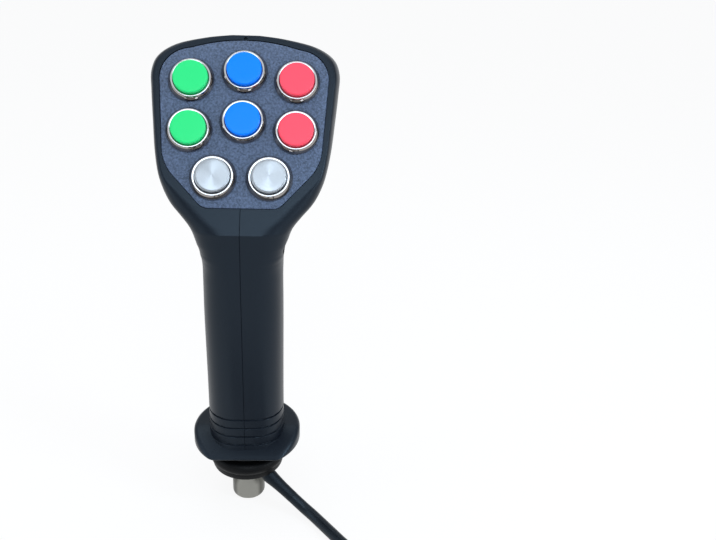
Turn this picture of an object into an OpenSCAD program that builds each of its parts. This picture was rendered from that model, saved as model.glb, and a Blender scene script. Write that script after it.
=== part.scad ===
// Joystick grip for an industrial control lever: a two-half moulded grip with
// eight push buttons on a sloping panel, a bar trigger at the back, a rubber
// boot, a metal lever adapter and a cable that ends in a connector.
// Axes: +X right seen from the panel side, -Y towards the operator, +Z up.
// Origin: centre of the adapter's foot. All sizes are in millimetres.

/* [Grip] */
// Width of the grip across the palm
grip_w = 37; // [34:0.5:40]
// Front face of the grip, ahead of the lever axis
grip_front = 16.5; // [15.5:0.5:18]
// Back face of the grip, behind the lever axis
grip_back = 19.5; // [18.5:0.5:21]
// Wall of the two moulded halves
wall = 3; // [2.5:0.25:3.5]
// Height of the crease between grip and button panel
crease_h = 158; // [156:1:162]
// Distance from the crease down to the narrowest part of the neck
neck_drop = 14; // [12:0.5:15]
// Width of the neck
neck_w = 38.8; // [37.8:0.2:40.2]

/* [Head] */
// Lean of the button panel from the vertical, in degrees
panel_lean = 37; // [35:1:39]
// Widest part of the head
head_w = 88; // [87:0.5:92]
// Width of the flat rim round the face plate
rim = 1.8; // [1.5:0.1:2.4]
// Distance from the steel pair down to the face plate's lower edge
plate_foot = 14.6; // [14:0.2:15.4]
// Distance from the top button up to the face plate's upper edge
plate_brow = 16.1; // [15.8:0.1:18]
// Greatest depth of the head behind the panel
head_t = 35.6; // [35:0.2:38]
// Widest part of the face plate
plate_w = 79; // [78.6:0.2:80]
// Thickness of the face plate
plate_t = 3; // [2.5:0.25:3.5]
// Shelf that the face plate rests on, thickness
shelf_t = 2.2; // [1.8:0.2:2.6]
// Shelf that the face plate rests on, width
shelf_w = 0.7; // [0.6:0.1:0.8]

/* [Buttons] */
// Sideways pitch of the coloured buttons
pitch_x = 25; // [25:0.1:25.6]
// Distance up the slope from the lower to the upper coloured row
pitch_v = 25; // [25:0.1:26]
// Distance up the slope from the crease to the steel pair
steel_v = 27.6; // [27.4:0.1:28.2]
// Distance up the slope from the steel pair to the lower coloured row
steel_gap = 23; // [22.6:0.1:24]
// Half the distance between the two steel buttons
steel_x = 13; // [12.9:0.1:13.6]
// How far the middle column sits above the outer columns
arch = 4.7; // [4:0.1:5]
// Bezel diameter
bezel_d = 22; // [21:0.2:22.6]
// Bezel height above the panel
bezel_h = 2.75; // [2.4:0.05:3]
// Thread diameter of the button bush
bush_d = 18.8; // [18.4:0.1:19]
// Length of the bush behind the panel
bush_l = 12.5; // [11.5:0.5:13]
// Cap diameter
cap_d = 16.5; // [16:0.1:16.7]
// Cap height above the panel at rest
cap_h = 4.7; // [4.2:0.1:5.4]
// Stroke of a button
stroke = 2; // [1.5:0.1:2.2]
// Guide stem diameter
stem_d = 6; // [5:0.5:6.5]
// Width of the bush nut across its flats
nut_af = 21; // [20.8:0.1:21.4]
// Thickness of the bush nut
nut_t = 3.5; // [3:0.25:4]

/* [Trigger] */
// Width of the trigger bar
trigger_w = 10.6; // [9:0.2:12]
// Length of the trigger bar
trigger_l = 39; // [36:1:40]
// Height of the trigger's upper end
trigger_top = 137.5; // [137:0.5:138.5]
// How far the bar stands out from the grip
trigger_proud = 2.8; // [2:0.1:3.4]
// Diameter of the trigger's pivot pin
pivot_d = 3; // [2.5:0.25:3.5]
// Full swing of the trigger, in degrees
trigger_swing = 4.5; // [3:0.5:4.5]

/* [Flange and boot] */
// Diameter of the hand rest flange
flange_d = 55.4; // [55:0.2:58]
// Thickness of the flange
flange_t = 8; // [7.5:0.25:8.5]
// Height of the flange's underside
flange_z = 36.5; // [36.5:0.25:37.5]
// Flat front edge of the flange, ahead of the lever axis
flange_front = 21.8; // [21:0.2:22.6]
// How far the flange's top falls towards its front edge
flange_fall = 7.1; // [6.5:0.1:7.2]
// Depth of the grooves on the lower front of the grip
groove_t = 0.7; // [0.4:0.1:0.9]
// Pitch of those grooves
groove_pitch = 5.05; // [4.8:0.05:5.4]
// Diameter of the boot's lower, larger fold
fold_d = 40; // [39.6:0.4:42]
// Diameter of the boot's upper fold
collar_d = 34.4; // [34:0.4:36]
// Wall of the rubber boot
boot_wall = 1.6; // [1.2:0.1:1.8]
// Height of the boot's lower rim
boot_z = 21.5; // [21:0.5:22]

/* [Lever adapter] */
// Diameter of the adapter's foot
foot_d = 17.2; // [17:0.2:18]
// Height of the adapter's foot below its waist
foot_h = 7.8; // [7:0.2:8.4]
// Width across the wrench flats
flats_af = 14.6; // [14.2:0.2:15.4]
// Height of the wrench flats
flats_h = 14; // [12:0.5:14]
// Diameter of the waist above the foot
waist_d = 13.8; // [13.6:0.2:14.4]
// Diameter of the shank under the grip
shank_d = 16.6; // [16.2:0.2:16.8]
// Diameter of the stud inside the grip
stud_d = 12; // [11.5:0.25:12]
// Radius of the tapped lever hole
socket_r = 5.1; // [4.6:0.1:5.2]
// Depth of the tapped lever hole
socket_l = 24; // [20:1:26]
// Diameter of the cross pin through the stud
cross_pin_d = 4; // [3:0.5:4]

/* [Fasteners] */
// Diameter of the two through bolts
bolt_d = 4; // [3.5:0.25:4]
// Diameter of the pockets for the bolt heads and nuts
pocket_d = 8.4; // [8.3:0.1:8.8]
// Width of the bolt nuts across their flats
bolt_nut_af = 7; // [6.5:0.1:7]

/* [Cable] */
// Outer diameter of the cable
cable_d = 6; // [5.5:0.1:6.2]
// Mid radius of the stored coil
coil_r = 33; // [32:0.5:34]

/* [Hidden] */
$fn = 48;

seat = 0.3;        // room between moving faces
close_fit = 0.05;  // running fit, on the radius
snug = 0.1;        // room between fixed pieces
past = 1;          // how far a cutter runs past a face

// ---- places on the button panel: v runs up the slope, d goes behind it ----
crease_y = -(grip_front - 2.5);
function on_panel(v, d = 0) = [crease_y + v * sin(panel_lean) + d * cos(panel_lean),
                               crease_h + v * cos(panel_lean) - d * sin(panel_lean)];
module panel_frame(x = 0, v = 0)
    translate([0, crease_y, crease_h]) rotate([90 - panel_lean, 0, 0]) translate([x, v, 0]) children();
module along_x(y, z) translate([0, y, z]) rotate([0, 90, 0]) children();

row_low = steel_v + steel_gap;
row_up = row_low + pitch_v;
plate_v = steel_v - plate_foot;
plate_top = row_up + arch + plate_brow;
// name order: green, blue, red, steel; each pair is upper/lower or left/right
button_at = [[-pitch_x, row_up], [-pitch_x, row_low], [0, row_up + arch], [0, row_low + arch],
             [pitch_x, row_up], [pitch_x, row_low], [-steel_x, steel_v], [steel_x, steel_v]];

// ---- the moulded housing: a loft through stations from the flange to the top ----
// Each station: front y, front z, back y, back z, half width, flat half width, widest at
side = grip_w / 2;
neck = neck_w / 2;
neck_h = crease_h - neck_drop;
broad = head_w / 2;
fy = -grip_front;
by = grip_back;
flange_top = flange_z + flange_t;
apron = flange_top - flange_fall;   // where the front of the grip meets the fallen edge of the flange
edge = plate_w / 2 + rim;
// A station across the head: v on the panel, then v and depth of the back line
function head_station(v, back_v, back_d, w, flat, at = 0.36) =
    concat(on_panel(v), on_panel(back_v, back_d), [w, flat, at]);
top = plate_top;
stations = [
    [fy, flange_z + 0.8, by, flange_z + 2, side - 0.2, 3, 0.46],
    [fy - 1.6, apron + 0.2, by + 2.4, flange_top + 0.2, side + 2.2, 3.4, 0.46],
    [fy - 0.5, apron + 1.8, by + 0.7, flange_top + 1.8, side + 0.6, 3.2, 0.46],
    [fy, apron + 5, by, flange_top + 6, side - 0.1, 3, 0.46],
    [fy + 0.2, flange_top + 27, by, flange_top + 27, side - 0.4, 3, 0.46],
    [fy + 0.6, neck_h - 32.5, by, neck_h - 32.5, side + 0.1, 3, 0.46],
    [fy + 1.1, neck_h - 13, by + 0.3, neck_h - 13, side + 0.2, 3.4, 0.48],
    [fy + 1.4, neck_h - 6.5, by + 0.9, neck_h - 6.5, side + 0.3, 3.8, 0.5],
    [fy + 1.7, neck_h - 2.5, by - 0.7, neck_h - 2.5, side + 0.5, 4.2, 0.48],
    [fy + 1.9, neck_h, by - 2.2, neck_h, neck, 4.6, 0.44],
    [fy + 2, neck_h + 2.2, by - 0.4, neck_h + 2.2, neck + 0.5, 5, 0.42],
    [fy + 2.2, neck_h + 6, by - 1.8, neck_h + 5, neck + 1.7, 5.4, 0.42],
    head_station(0, 17, head_t - 8.9, neck + 3.8, 6, 0.42),
    head_station(6, 22.3, head_t - 11, neck + 6.4, 12.5, 0.42),
    head_station(plate_v, 29.4, head_t - 11.5, neck + 10.6, 18.8, 0.4),
    head_station(20.5, 37.9, head_t - 10.3, broad - 8.5, 28, 0.38),
    head_station(28, 46.5, head_t - 8, broad - 5, edge - 6.3),
    head_station(40, 57.4, head_t - 4.3, broad - 2.8, edge - 3.1),
    head_station(top - 41.4, top - 27.2, head_t, broad - 1.6, edge - 1.4),
    head_station(top - 26.4, top - 13.1, head_t - 0.9, broad - 0.6, edge - 0.3),
    head_station(top - 16.4, top - 2.3, head_t - 3.9, broad - 0.1, edge - 0.1),
    head_station(top - 8.4, top + 3.5, head_t - 8.8, broad - 2.8, edge - 3.5),
    head_station(top - 2.4, top + 6, head_t - 15.6, broad - 10.5, edge - 12.3),
    head_station(top + 1.2, top + 5, head_t - 23.1, broad - 23, edge - 26.3),
    head_station(top + 2.6, top + 3.8, head_t - 30, broad - 35, edge - 36.3)];
last = len(stations) - 1;
steps = 3;                    // rings to each stretch between stations
rings = last * steps;
floor_ring = 3 * steps;       // the cavity starts above the thick floor
roof_ring = (last - 2) * steps;
crease_ring = 12 * steps;
corner_n = 6;                 // points round a front corner
back_n = 8;                   // points round the back
round_power = 0.87;           // 1 is an ellipse, less is squarer

function spline(a, b, c, d, t) =
    0.5 * (2 * b + (c - a) * t + (2 * a - 5 * b + 4 * c - d) * t * t + (3 * b - a - 3 * c + d) * t * t * t);
// The front line stays straight between stations, the rest is a smooth curve.
function section_at(ring) =
    let (u = ring / steps, i = min(floor(u), last - 1), t = u - i,
         a = stations[max(i - 1, 0)], b = stations[i], c = stations[i + 1], d = stations[min(i + 2, last)])
    [for (k = [0:len(b) - 1]) k < 2 ? b[k] + (c[k] - b[k]) * t : spline(a[k], b[k], c[k], d[k], t)];
// Half outline of a section, as [x, share of the depth]
function half_outline(w, flat, at, n1, n2) = concat(
    [[0, 0]],
    [for (j = [0:n1]) let (q = 90 * j / n1)
        [flat + (w - flat) * pow(sin(q), round_power), at * (1 - pow(cos(q), round_power))]],
    [for (j = [1:n2]) let (q = 90 * j / n2)
        [w * pow(cos(q), round_power), at + (1 - at) * pow(sin(q), round_power)]]);
function placed(s, outline, t0 = 0, t1 = 1) =
    [for (p = outline) let (t = t0 + (t1 - t0) * p[1])
        [p[0], s[0] + (s[2] - s[0]) * t, s[1] + (s[3] - s[1]) * t]];
function outer_ring(i) = let (s = section_at(i))
    placed(s, half_outline(s[4], s[5], s[6], corner_n, back_n));
// Wall at the front: thin along the grip, thick behind the panel
function front_wall(i) = i < crease_ring - 2 ? wall : plate_t + shelf_t + 1;
function inner_ring(i) = let (s = section_at(i), depth = norm([s[2] - s[0], s[3] - s[1]]))
    placed(s, half_outline(s[4] - wall, max(s[5] - wall, 2), s[6], in_corner_n, in_back_n),
           front_wall(i) / depth, 1 - wall / depth);
in_corner_n = 3;
in_back_n = 5;
n_out = corner_n + back_n + 2;
n_in = in_corner_n + in_back_n + 2;
function o(i, j) = i * n_out + j;
function c(i, j) = (rings + 1) * n_out + (i - floor_ring) * n_in + j;
function quad(a, b, cc, d) = [[a, b, cc], [a, cc, d]];
function fan(loop) = [for (k = [1:len(loop) - 2]) [loop[0], loop[k], loop[k + 1]]];

// One half of the hollow housing, on the +X side, closed at the seam plane
module housing_half() {
    points = concat([for (i = [0:rings], p = outer_ring(i)) p],
                    [for (i = [floor_ring:roof_ring], p = inner_ring(i)) p]);
    e = n_out - 1;
    f = n_in - 1;
    skin = [for (i = [0:rings - 1], j = [0:n_out - 2],
                 t = quad(o(i, j), o(i + 1, j), o(i + 1, j + 1), o(i, j + 1))) t];
    lining = [for (i = [floor_ring:roof_ring - 1], j = [0:n_in - 2],
                   t = quad(c(i, j), c(i, j + 1), c(i + 1, j + 1), c(i + 1, j))) t];
    solid_seam = [for (i = [0:rings - 1])
        if (i < floor_ring - 1 || i > roof_ring) each quad(o(i, 0), o(i, e), o(i + 1, e), o(i + 1, 0))];
    walls_seam = [for (i = [floor_ring:roof_ring - 1])
        each concat(quad(o(i, 0), c(i, 0), c(i + 1, 0), o(i + 1, 0)),
                    quad(c(i, f), o(i, e), o(i + 1, e), c(i + 1, f)))];
    a = floor_ring;
    b = roof_ring;
    ends_seam = concat(fan([o(a - 1, 0), o(a - 1, e), o(a, e), c(a, f), c(a, 0), o(a, 0)]),
                       fan([o(b + 1, 0), o(b, 0), c(b, 0), c(b, f), o(b, e), o(b + 1, e)]));
    caps = concat(fan([for (j = [0:n_out - 1]) o(0, j)]), fan([for (j = [n_out - 1:-1:0]) o(rings, j)]),
                  fan([for (j = [n_in - 1:-1:0]) c(a, j)]), fan([for (j = [0:n_in - 1]) c(b, j)]));
    polyhedron(points, concat(skin, lining, solid_seam, walls_seam, ends_seam, caps));
}

// Rounded flange of one half: a revolved disc with rounded rims and a straight front edge
flange_r = flange_d / 2;
rim_top = 3;
rim_under = 2;
module flange_profile() union() {
    square([flange_r - rim_top, flange_t]);
    translate([0, rim_under]) square([flange_r, flange_t - rim_top - rim_under]);
    translate([flange_r - rim_top, flange_t - rim_top]) circle(rim_top);
    translate([flange_r - rim_under, rim_under]) circle(rim_under);
    square([flange_r - rim_under, rim_under]);
}
flange_bend = 1;              // how far ahead of the axis the flange's top starts to fall
module flange_half() difference() {
    translate([0, 0, flange_z]) rotate([0, 0, -90]) rotate_extrude(angle = 180) flange_profile();
    translate([-past, -flange_d, flange_z - past])
        cube([flange_d, flange_d - flange_front, flange_t + 2 * past]);
    fall = atan2(flange_fall, flange_front - flange_bend);
    translate([-past, -flange_bend, flange_top]) rotate([fall, 0, 0])
        translate([0, -flange_d, 0]) cube([flange_d, flange_d, 2 * flange_t]);
}
// One groove across the lower front of the grip, which runs out at its sides
groove_w = 0.9;
module groove(z) translate([0, 0, z - groove_w / 2]) linear_extrude(groove_w) difference() {
    translate([-past, -flange_d]) square([flange_d, flange_d - past]);
    translate([0, groove_t]) polygon([for (p = half_outline(side + 0.3, 3, 0.46, 12, 12))
        [p[0], fy + (by - fy) * p[1]]]);
}
grooves = 4;
groove_low = 5.2;             // from the flange's front up to the lowest groove
// Half of a ring round the lever axis
module half_ring(r_out, z0, z1)
    translate([0, 0, z0]) rotate([0, 0, -90]) rotate_extrude(angle = 180) square([r_out, z1 - z0]);

// ---- face plate outline: straight sides, round corners and an arched top edge ----
plate_half = plate_w / 2;
foot_half = 17.6;             // lower edge, half width at the corner
shoulder_v = plate_v + 21;    // where the sides start to close in
brow_v = plate_top - 2;       // where the top corners meet
brow_half = plate_half + 0.8;
foot_round = 7;
shoulder_round = 22;
brow_round = 15;
top_round = 80;
arc_steps = 6;
// Arc that rounds corner b between a and c
function corner_arc(a, b, c, r) =
    let (u = (a - b) / norm(a - b), w = (c - b) / norm(c - b),
         half = acos(u * w) / 2, m = (u + w) / norm(u + w), mid = b + m * r / sin(half),
         p = b + u * r / tan(half), q = b + w * r / tan(half),
         a0 = atan2(p[1] - mid[1], p[0] - mid[0]), turn = atan2(q[1] - mid[1], q[0] - mid[0]) - a0,
         short = turn > 180 ? turn - 360 : turn < -180 ? turn + 360 : turn)
    [for (k = [0:arc_steps]) mid + r * [cos(a0 + short * k / arc_steps), sin(a0 + short * k / arc_steps)]];
top_half = 26;
top_drop = top_round - sqrt(top_round * top_round - top_half * top_half);
plate_right = let (foot = [foot_half, plate_v], shoulder = [plate_half - 3.6, shoulder_v],
                   brow = [brow_half, brow_v - top_drop], top = [top_half, plate_top - top_drop])
    concat(corner_arc([0, plate_v], foot, shoulder, foot_round),
           corner_arc(foot, shoulder, brow, shoulder_round),
           corner_arc(shoulder, brow, top, brow_round),
           [for (k = [arc_steps - 1:-1:0]) let (x = top_half * k / arc_steps)
               [x, plate_top - top_round + sqrt(top_round * top_round - x * x)]]);
plate_loop = concat(plate_right,
    [for (k = [len(plate_right) - 2:-1:0]) [-plate_right[k][0], plate_right[k][1]]]);
// The same outline, moved outwards by g
function grown(loop, g) = let (n = len(loop))
    [for (i = [0:n - 1]) let (t = loop[(i + 1) % n] - loop[(i + n - 1) % n])
        loop[i] + g * [t[1], -t[0]] / norm(t)];
tongue = 1.2;                 // tongue round the plate's edge, held in a groove of both halves
tongue_t = plate_t / 2;
module plate_solid(g, d0, d1)
    panel_frame() translate([0, 0, -d1]) linear_extrude(d1 - d0) polygon(grown(plate_loop, g));

module face_plate() color([0.12, 0.13, 0.16]) difference() {
    union() {
        plate_solid(0, 0, plate_t);
        plate_solid(tongue, plate_t - tongue_t, plate_t);
    }
    for (b = button_at) panel_frame(b[0], b[1]) translate([0, 0, -plate_t - past])
        cylinder(d = bush_d + 2 * snug, h = plate_t + 2 * past);
}

// ---- what the two halves share ----
neck_bolt_at = [-2, neck_h + 4.5];
head_bolt_at = on_panel(row_up + arch + 7.7, 21);
head_bolt_at_side = broad - 15;     // where the head bolt's pockets start
neck_bolt_at_side = neck - 4.4;
boss_r = 4.2;
pocket_wall = 1.5;
pocket_wall_l = 4;
trigger_back = by + trigger_proud;
trigger_face = by - 4;              // inner face of the bar
pivot_at = [by - 8.5, trigger_top - 6.5];
lug_half = 4.8;
pivot_boss_r = 3.4;
swing_room = 1.2;                   // room below the bar, whose end drops as it swings
pivot_reach = 12;
plunger_z = trigger_top - 22.5;
switch_z = plunger_z - 9;           // lower end of the microswitch
switch_front = 3;                   // its front face
switch_d = 9.5;
switch_h = 20;
switch_w = 6.4;
switch_holes = [[switch_front + 2, switch_z + 5], [switch_front + 2, switch_z + 14.6]];
spring_drop = 35;                   // from the bar's top down to the trigger spring
spring_z = trigger_top - spring_drop;
spring_seat = 8.6;                  // face that the trigger spring stands on
seat_t = 2.4;
loom_d = 4.2;
loom_at = [8.3, -6.9];
tower_r = 8.6;
tower_top = flange_top + 21;
pin_z = flange_top + 13;
spigot_r = fold_d / 2 - 6.25;
spigot_l = 6;

module seam_boss(at, reach) along_x(at[0], at[1]) {
    cylinder(r = boss_r, h = reach);
    translate([0, 0, reach - 2]) cylinder(r = pocket_d / 2 + pocket_wall, h = pocket_wall_l);
}
module half_body() {
    housing_half();
    flange_half();
    half_ring(tower_r, flange_top - 1, tower_top);
    half_ring(spigot_r, flange_z - spigot_l, flange_z + 1);
    seam_boss(neck_bolt_at, neck_bolt_at_side);
    seam_boss(head_bolt_at, head_bolt_at_side);
    translate([lug_half + seat, 0, 0]) along_x(pivot_at[0], pivot_at[1])
        cylinder(r = pivot_boss_r, h = pivot_reach - lug_half + 0.5);
    translate([0, spring_seat - seat_t, spring_z - 3.2]) cube([side - wall, seat_t, 6.4]);
}
module half_cuts() {
    // pocket, groove and window for the face plate
    plate_solid(snug, -past, plate_t);
    plate_solid(tongue + snug, plate_t - tongue_t - snug, plate_t);
    plate_solid(-shelf_w, plate_t - past, plate_t + shelf_t + 4);
    // through bolts and their pockets
    for (b = [[neck_bolt_at, neck_bolt_at_side], [head_bolt_at, head_bolt_at_side]]) {
        along_x(b[0][0], b[0][1]) translate([0, 0, -past]) cylinder(d = bolt_d + 2 * snug, h = b[1] + past);
        along_x(b[0][0], b[0][1]) translate([0, 0, b[1]]) cylinder(d = pocket_d, h = broad);
    }
    // grooves, and a small notch in the rim where the halves meet
    for (k = [0:grooves - 1]) groove(apron + groove_low + k * groove_pitch);
    panel_frame(0, plate_top + rim / 2) rotate([0, 0, 45]) cube([1.5, 1.5, 2], center = true);
    // trigger window, pivot and stud bore
    translate([-past, trigger_face - 3, trigger_top - trigger_l - swing_room])
        cube([trigger_w / 2 + seat + past, flange_d, trigger_l + swing_room + seat]);
    along_x(pivot_at[0], pivot_at[1]) cylinder(d = pivot_d + 2 * close_fit, h = pivot_reach);
    translate([0, 0, flange_z - spigot_l - past]) cylinder(r = shank_d / 2 + snug, h = spigot_l + past);
    cylinder(d = stud_d + 2 * snug, h = tower_top + past);
    along_x(0, pin_z) translate([0, 0, -past])
        cylinder(d = cross_pin_d + 2 * close_fit, h = tower_r + 3 * past);
    translate([loom_at[0], loom_at[1], flange_z - spigot_l - past])
        cylinder(r = loom_d / 2 + seat, h = spigot_l + flange_t + 13);
}

module right_shell() color([0.06, 0.07, 0.09]) difference() {
    half_body();
    half_cuts();
}
screw_d = 2.2;
module left_shell() color([0.05, 0.06, 0.08]) difference() {
    mirror([1, 0, 0]) difference() {
        union() {
            half_body();
            for (h = switch_holes) translate([switch_w / 2, 0, 0]) along_x(h[0], h[1])
                cylinder(r = 2.4, h = side - 3 - switch_w / 2);
        }
        half_cuts();
        for (h = switch_holes) along_x(h[0], h[1]) cylinder(d = screw_d, h = switch_w / 2 + 7);
    }
}

// ---- push buttons, drawn along the panel normal with z = 0 on the plate ----
bush_r = bush_d / 2;
bezel_r = bezel_d / 2;
lip_r = bezel_r - 1.3;
cap_r = cap_d / 2;
bore_r = cap_r + seat;
seal_t = 0.4;
body_r = bush_r - 0.9;
body_top = -5.5;
guide_t = 3;
chamber_r = 4.9;
body_end = -16.5;
pin_end = -19.5;
skirt_t = 4;
collar_r = 4.2;
collar_top = body_top - guide_t - seat;
spring_wire = 0.7;
spring_r = 5;

module bush() color([0.8, 0.81, 0.83]) rotate_extrude() difference() {
    union() {
        polygon([[0, seal_t], [bezel_r - 0.3, seal_t], [bezel_r, seal_t + 0.3], [bezel_r, seal_t + 0.6],
                 [lip_r + 0.2, bezel_h - 0.2], [lip_r, bezel_h], [0, bezel_h]]);
        translate([0, -bush_l]) square([bush_r, bush_l + seal_t]);
    }
    translate([0, -bush_l - past]) square([bore_r, bush_l + bezel_h + 2 * past]);
}
module cap(tint) color(tint) rotate_extrude() {
    polygon([[0, cap_h], [cap_r - 0.5, cap_h], [cap_r - 0.15, cap_h - 0.15], [cap_r, cap_h - 0.5],
             [cap_r, cap_h - skirt_t], [0, cap_h - skirt_t]]);
    translate([0, collar_top - 1.2]) square([stem_d / 2, cap_h - skirt_t - collar_top + 1.2 + past / 2]);
    translate([0, collar_top - 1.2]) square([collar_r, 1.2]);
}
module switch_body() color([0.15, 0.15, 0.16]) {
    rotate_extrude() difference() {
        union() {
            translate([0, -bush_l - 2]) square([body_r - snug, body_top + bush_l + 2]);
            translate([0, -bush_l - 2]) square([bush_r, 2]);
            translate([0, body_end]) square([body_r, -bush_l - body_end]);
        }
        translate([0, body_top - guide_t]) square([stem_d / 2 + close_fit, guide_t + past]);
        translate([0, -bush_l - 3]) square([chamber_r, body_top - guide_t + bush_l + 3]);
    }
    for (x = [-4.5, 0, 4.5]) translate([x - 1.4, -0.4, pin_end]) cube([2.8, 0.8, body_end - pin_end + past]);
}
// A compression spring drawn as its touching coils
module coil_spring(r, wire, length) {
    turns = floor(length / (wire * 1.9));
    for (k = [0:turns]) translate([0, 0, wire + (length - 2 * wire) * k / turns])
        rotate_extrude() translate([r, 0]) circle(wire, $fn = 16);
}
module return_spring() color([0.7, 0.7, 0.72]) translate([0, 0, body_top + seat / 2])
    coil_spring(spring_r, spring_wire, cap_h - skirt_t - body_top - seat);
nut_r = nut_af / sqrt(3);
module bush_nut(turn) color([0.75, 0.75, 0.77]) rotate([0, 0, turn]) difference() {
    translate([0, 0, -plate_t - nut_t]) cylinder(r = nut_r, h = nut_t, $fn = 6);
    translate([0, 0, -plate_t - nut_t - past]) cylinder(r = bush_r + close_fit, h = nut_t + 2 * past);
}
module at_button(i) panel_frame(button_at[i][0], button_at[i][1]) children();

green = [0.1, 0.8, 0.4];
blue = [0, 0.4, 0.95];
red = [0.95, 0.15, 0.2];
steel = [0.75, 0.77, 0.8];
module green_cap_upper() at_button(0) cap(green);
module green_cap_lower() at_button(1) cap(green);
module blue_cap_upper() at_button(2) cap(blue);
module blue_cap_lower() at_button(3) cap(blue);
module red_cap_upper() at_button(4) cap(red);
module red_cap_lower() at_button(5) cap(red);
module steel_cap_left() at_button(6) cap(steel);
module steel_cap_right() at_button(7) cap(steel);
module green_bush_upper() at_button(0) bush();
module green_bush_lower() at_button(1) bush();
module blue_bush_upper() at_button(2) bush();
module blue_bush_lower() at_button(3) bush();
module red_bush_upper() at_button(4) bush();
module red_bush_lower() at_button(5) bush();
module steel_bush_left() at_button(6) bush();
module steel_bush_right() at_button(7) bush();
module green_switch_upper() at_button(0) switch_body();
module green_switch_lower() at_button(1) switch_body();
module blue_switch_upper() at_button(2) switch_body();
module blue_switch_lower() at_button(3) switch_body();
module red_switch_upper() at_button(4) switch_body();
module red_switch_lower() at_button(5) switch_body();
module steel_switch_left() at_button(6) switch_body();
module steel_switch_right() at_button(7) switch_body();
module green_spring_upper() at_button(0) return_spring();
module green_spring_lower() at_button(1) return_spring();
module blue_spring_upper() at_button(2) return_spring();
module blue_spring_lower() at_button(3) return_spring();
module red_spring_upper() at_button(4) return_spring();
module red_spring_lower() at_button(5) return_spring();
module steel_spring_left() at_button(6) return_spring();
module steel_spring_right() at_button(7) return_spring();
module bush_nuts() for (i = [0:7]) at_button(i) bush_nut(i < 6 ? 30 : i == 6 ? 30 + 47 : 30 - 47);
module bush_seals() color([0.1, 0.1, 0.1]) for (i = [0:7]) at_button(i) difference() {
    cylinder(r = bezel_r - 0.7, h = seal_t);
    translate([0, 0, -past]) cylinder(r = bush_r + close_fit, h = seal_t + 2 * past);
}

// ---- trigger and its microswitch ----
lug_r = 3.6;
bar_round = 1;                      // radius of the bar's outer edges
bar_low = trigger_top - trigger_l;
module bar_block(inset, y1)
    translate([-trigger_w / 2 + inset, trigger_face, bar_low + inset])
        cube([trigger_w - 2 * inset, y1 - trigger_face, trigger_l - 2 * inset]);
module trigger() color([0.75, 0.15, 0.25]) difference() {
    union() {
        bar_block(0, trigger_back - bar_round);
        bar_block(bar_round, trigger_back);
        for (z = [trigger_top - bar_round, bar_low + bar_round])
            translate([bar_round - trigger_w / 2, 0, 0]) along_x(trigger_back - bar_round, z)
                cylinder(r = bar_round, h = trigger_w - 2 * bar_round);
        for (x = [bar_round - trigger_w / 2, trigger_w / 2 - bar_round])
            translate([x, trigger_back - bar_round, bar_low + bar_round])
                cylinder(r = bar_round, h = trigger_l - 2 * bar_round);
        translate([-lug_half, 0, 0]) along_x(pivot_at[0], pivot_at[1]) cylinder(r = lug_r, h = 2 * lug_half);
        translate([-lug_half, pivot_at[0], pivot_at[1] - lug_r])
            cube([2 * lug_half, trigger_face - pivot_at[0] + 1, 2 * lug_r]);
    }
    translate([-lug_half - past, 0, 0]) along_x(pivot_at[0], pivot_at[1])
        cylinder(d = pivot_d + 2 * close_fit, h = 2 * (lug_half + past));
}
module trigger_pin() color([0.7, 0.7, 0.72]) translate([2 * snug - pivot_reach, 0, 0])
    along_x(pivot_at[0], pivot_at[1]) cylinder(d = pivot_d, h = 2 * pivot_reach - 4 * snug);
module trigger_spring() color([0.7, 0.7, 0.72]) translate([0, trigger_face - seat / 2, spring_z])
    rotate([90, 0, 0]) coil_spring(2.6, 0.5, trigger_face - spring_seat - seat);
plunger_w = 3;
module microswitch() color([0.1, 0.1, 0.11]) difference() {
    union() {
        translate([-switch_w / 2, switch_front, switch_z]) cube([switch_w, switch_d, switch_h]);
        for (z = [2.5, 10, 17.5]) translate([-1.6, switch_front - 3.5, switch_z + z - 0.3])
            cube([3.2, 3.5 + past, 0.6]);
    }
    translate([-plunger_w / 2 - seat, switch_front + 6, plunger_z - plunger_w / 2 - seat])
        cube([plunger_w + 2 * seat, switch_d, plunger_w + 2 * seat]);
    for (h = switch_holes) translate([-switch_w, 0, 0]) along_x(h[0], h[1])
        cylinder(d = screw_d + 2 * snug, h = 2 * switch_w);
}
module microswitch_plunger() color([0.8, 0.75, 0.6])
    translate([-plunger_w / 2, switch_front + 6 + 1.8, plunger_z - plunger_w / 2])
        cube([plunger_w, trigger_face - seat - switch_front - 6 - 1.8, plunger_w]);
module microswitch_screws() color([0.7, 0.7, 0.72]) for (h = switch_holes) {
    translate([-switch_w / 2 - 6, 0, 0]) along_x(h[0], h[1])
        cylinder(d = screw_d - 2 * close_fit, h = switch_w + 6);
    translate([switch_w / 2, 0, 0]) along_x(h[0], h[1]) cylinder(d = 4.2, h = 1.6);
}

// ---- lever adapter, boot and fasteners ----
foot_r = foot_d / 2;
waist_r = waist_d / 2;
shank_r = shank_d / 2;
waist_z = 17.4;
neck_in_z = boot_z - 0.6;     // where the shank is full size again, just under the boot
foot_edge = 2.4;               // radius of the foot's rounded lower edge
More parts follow.
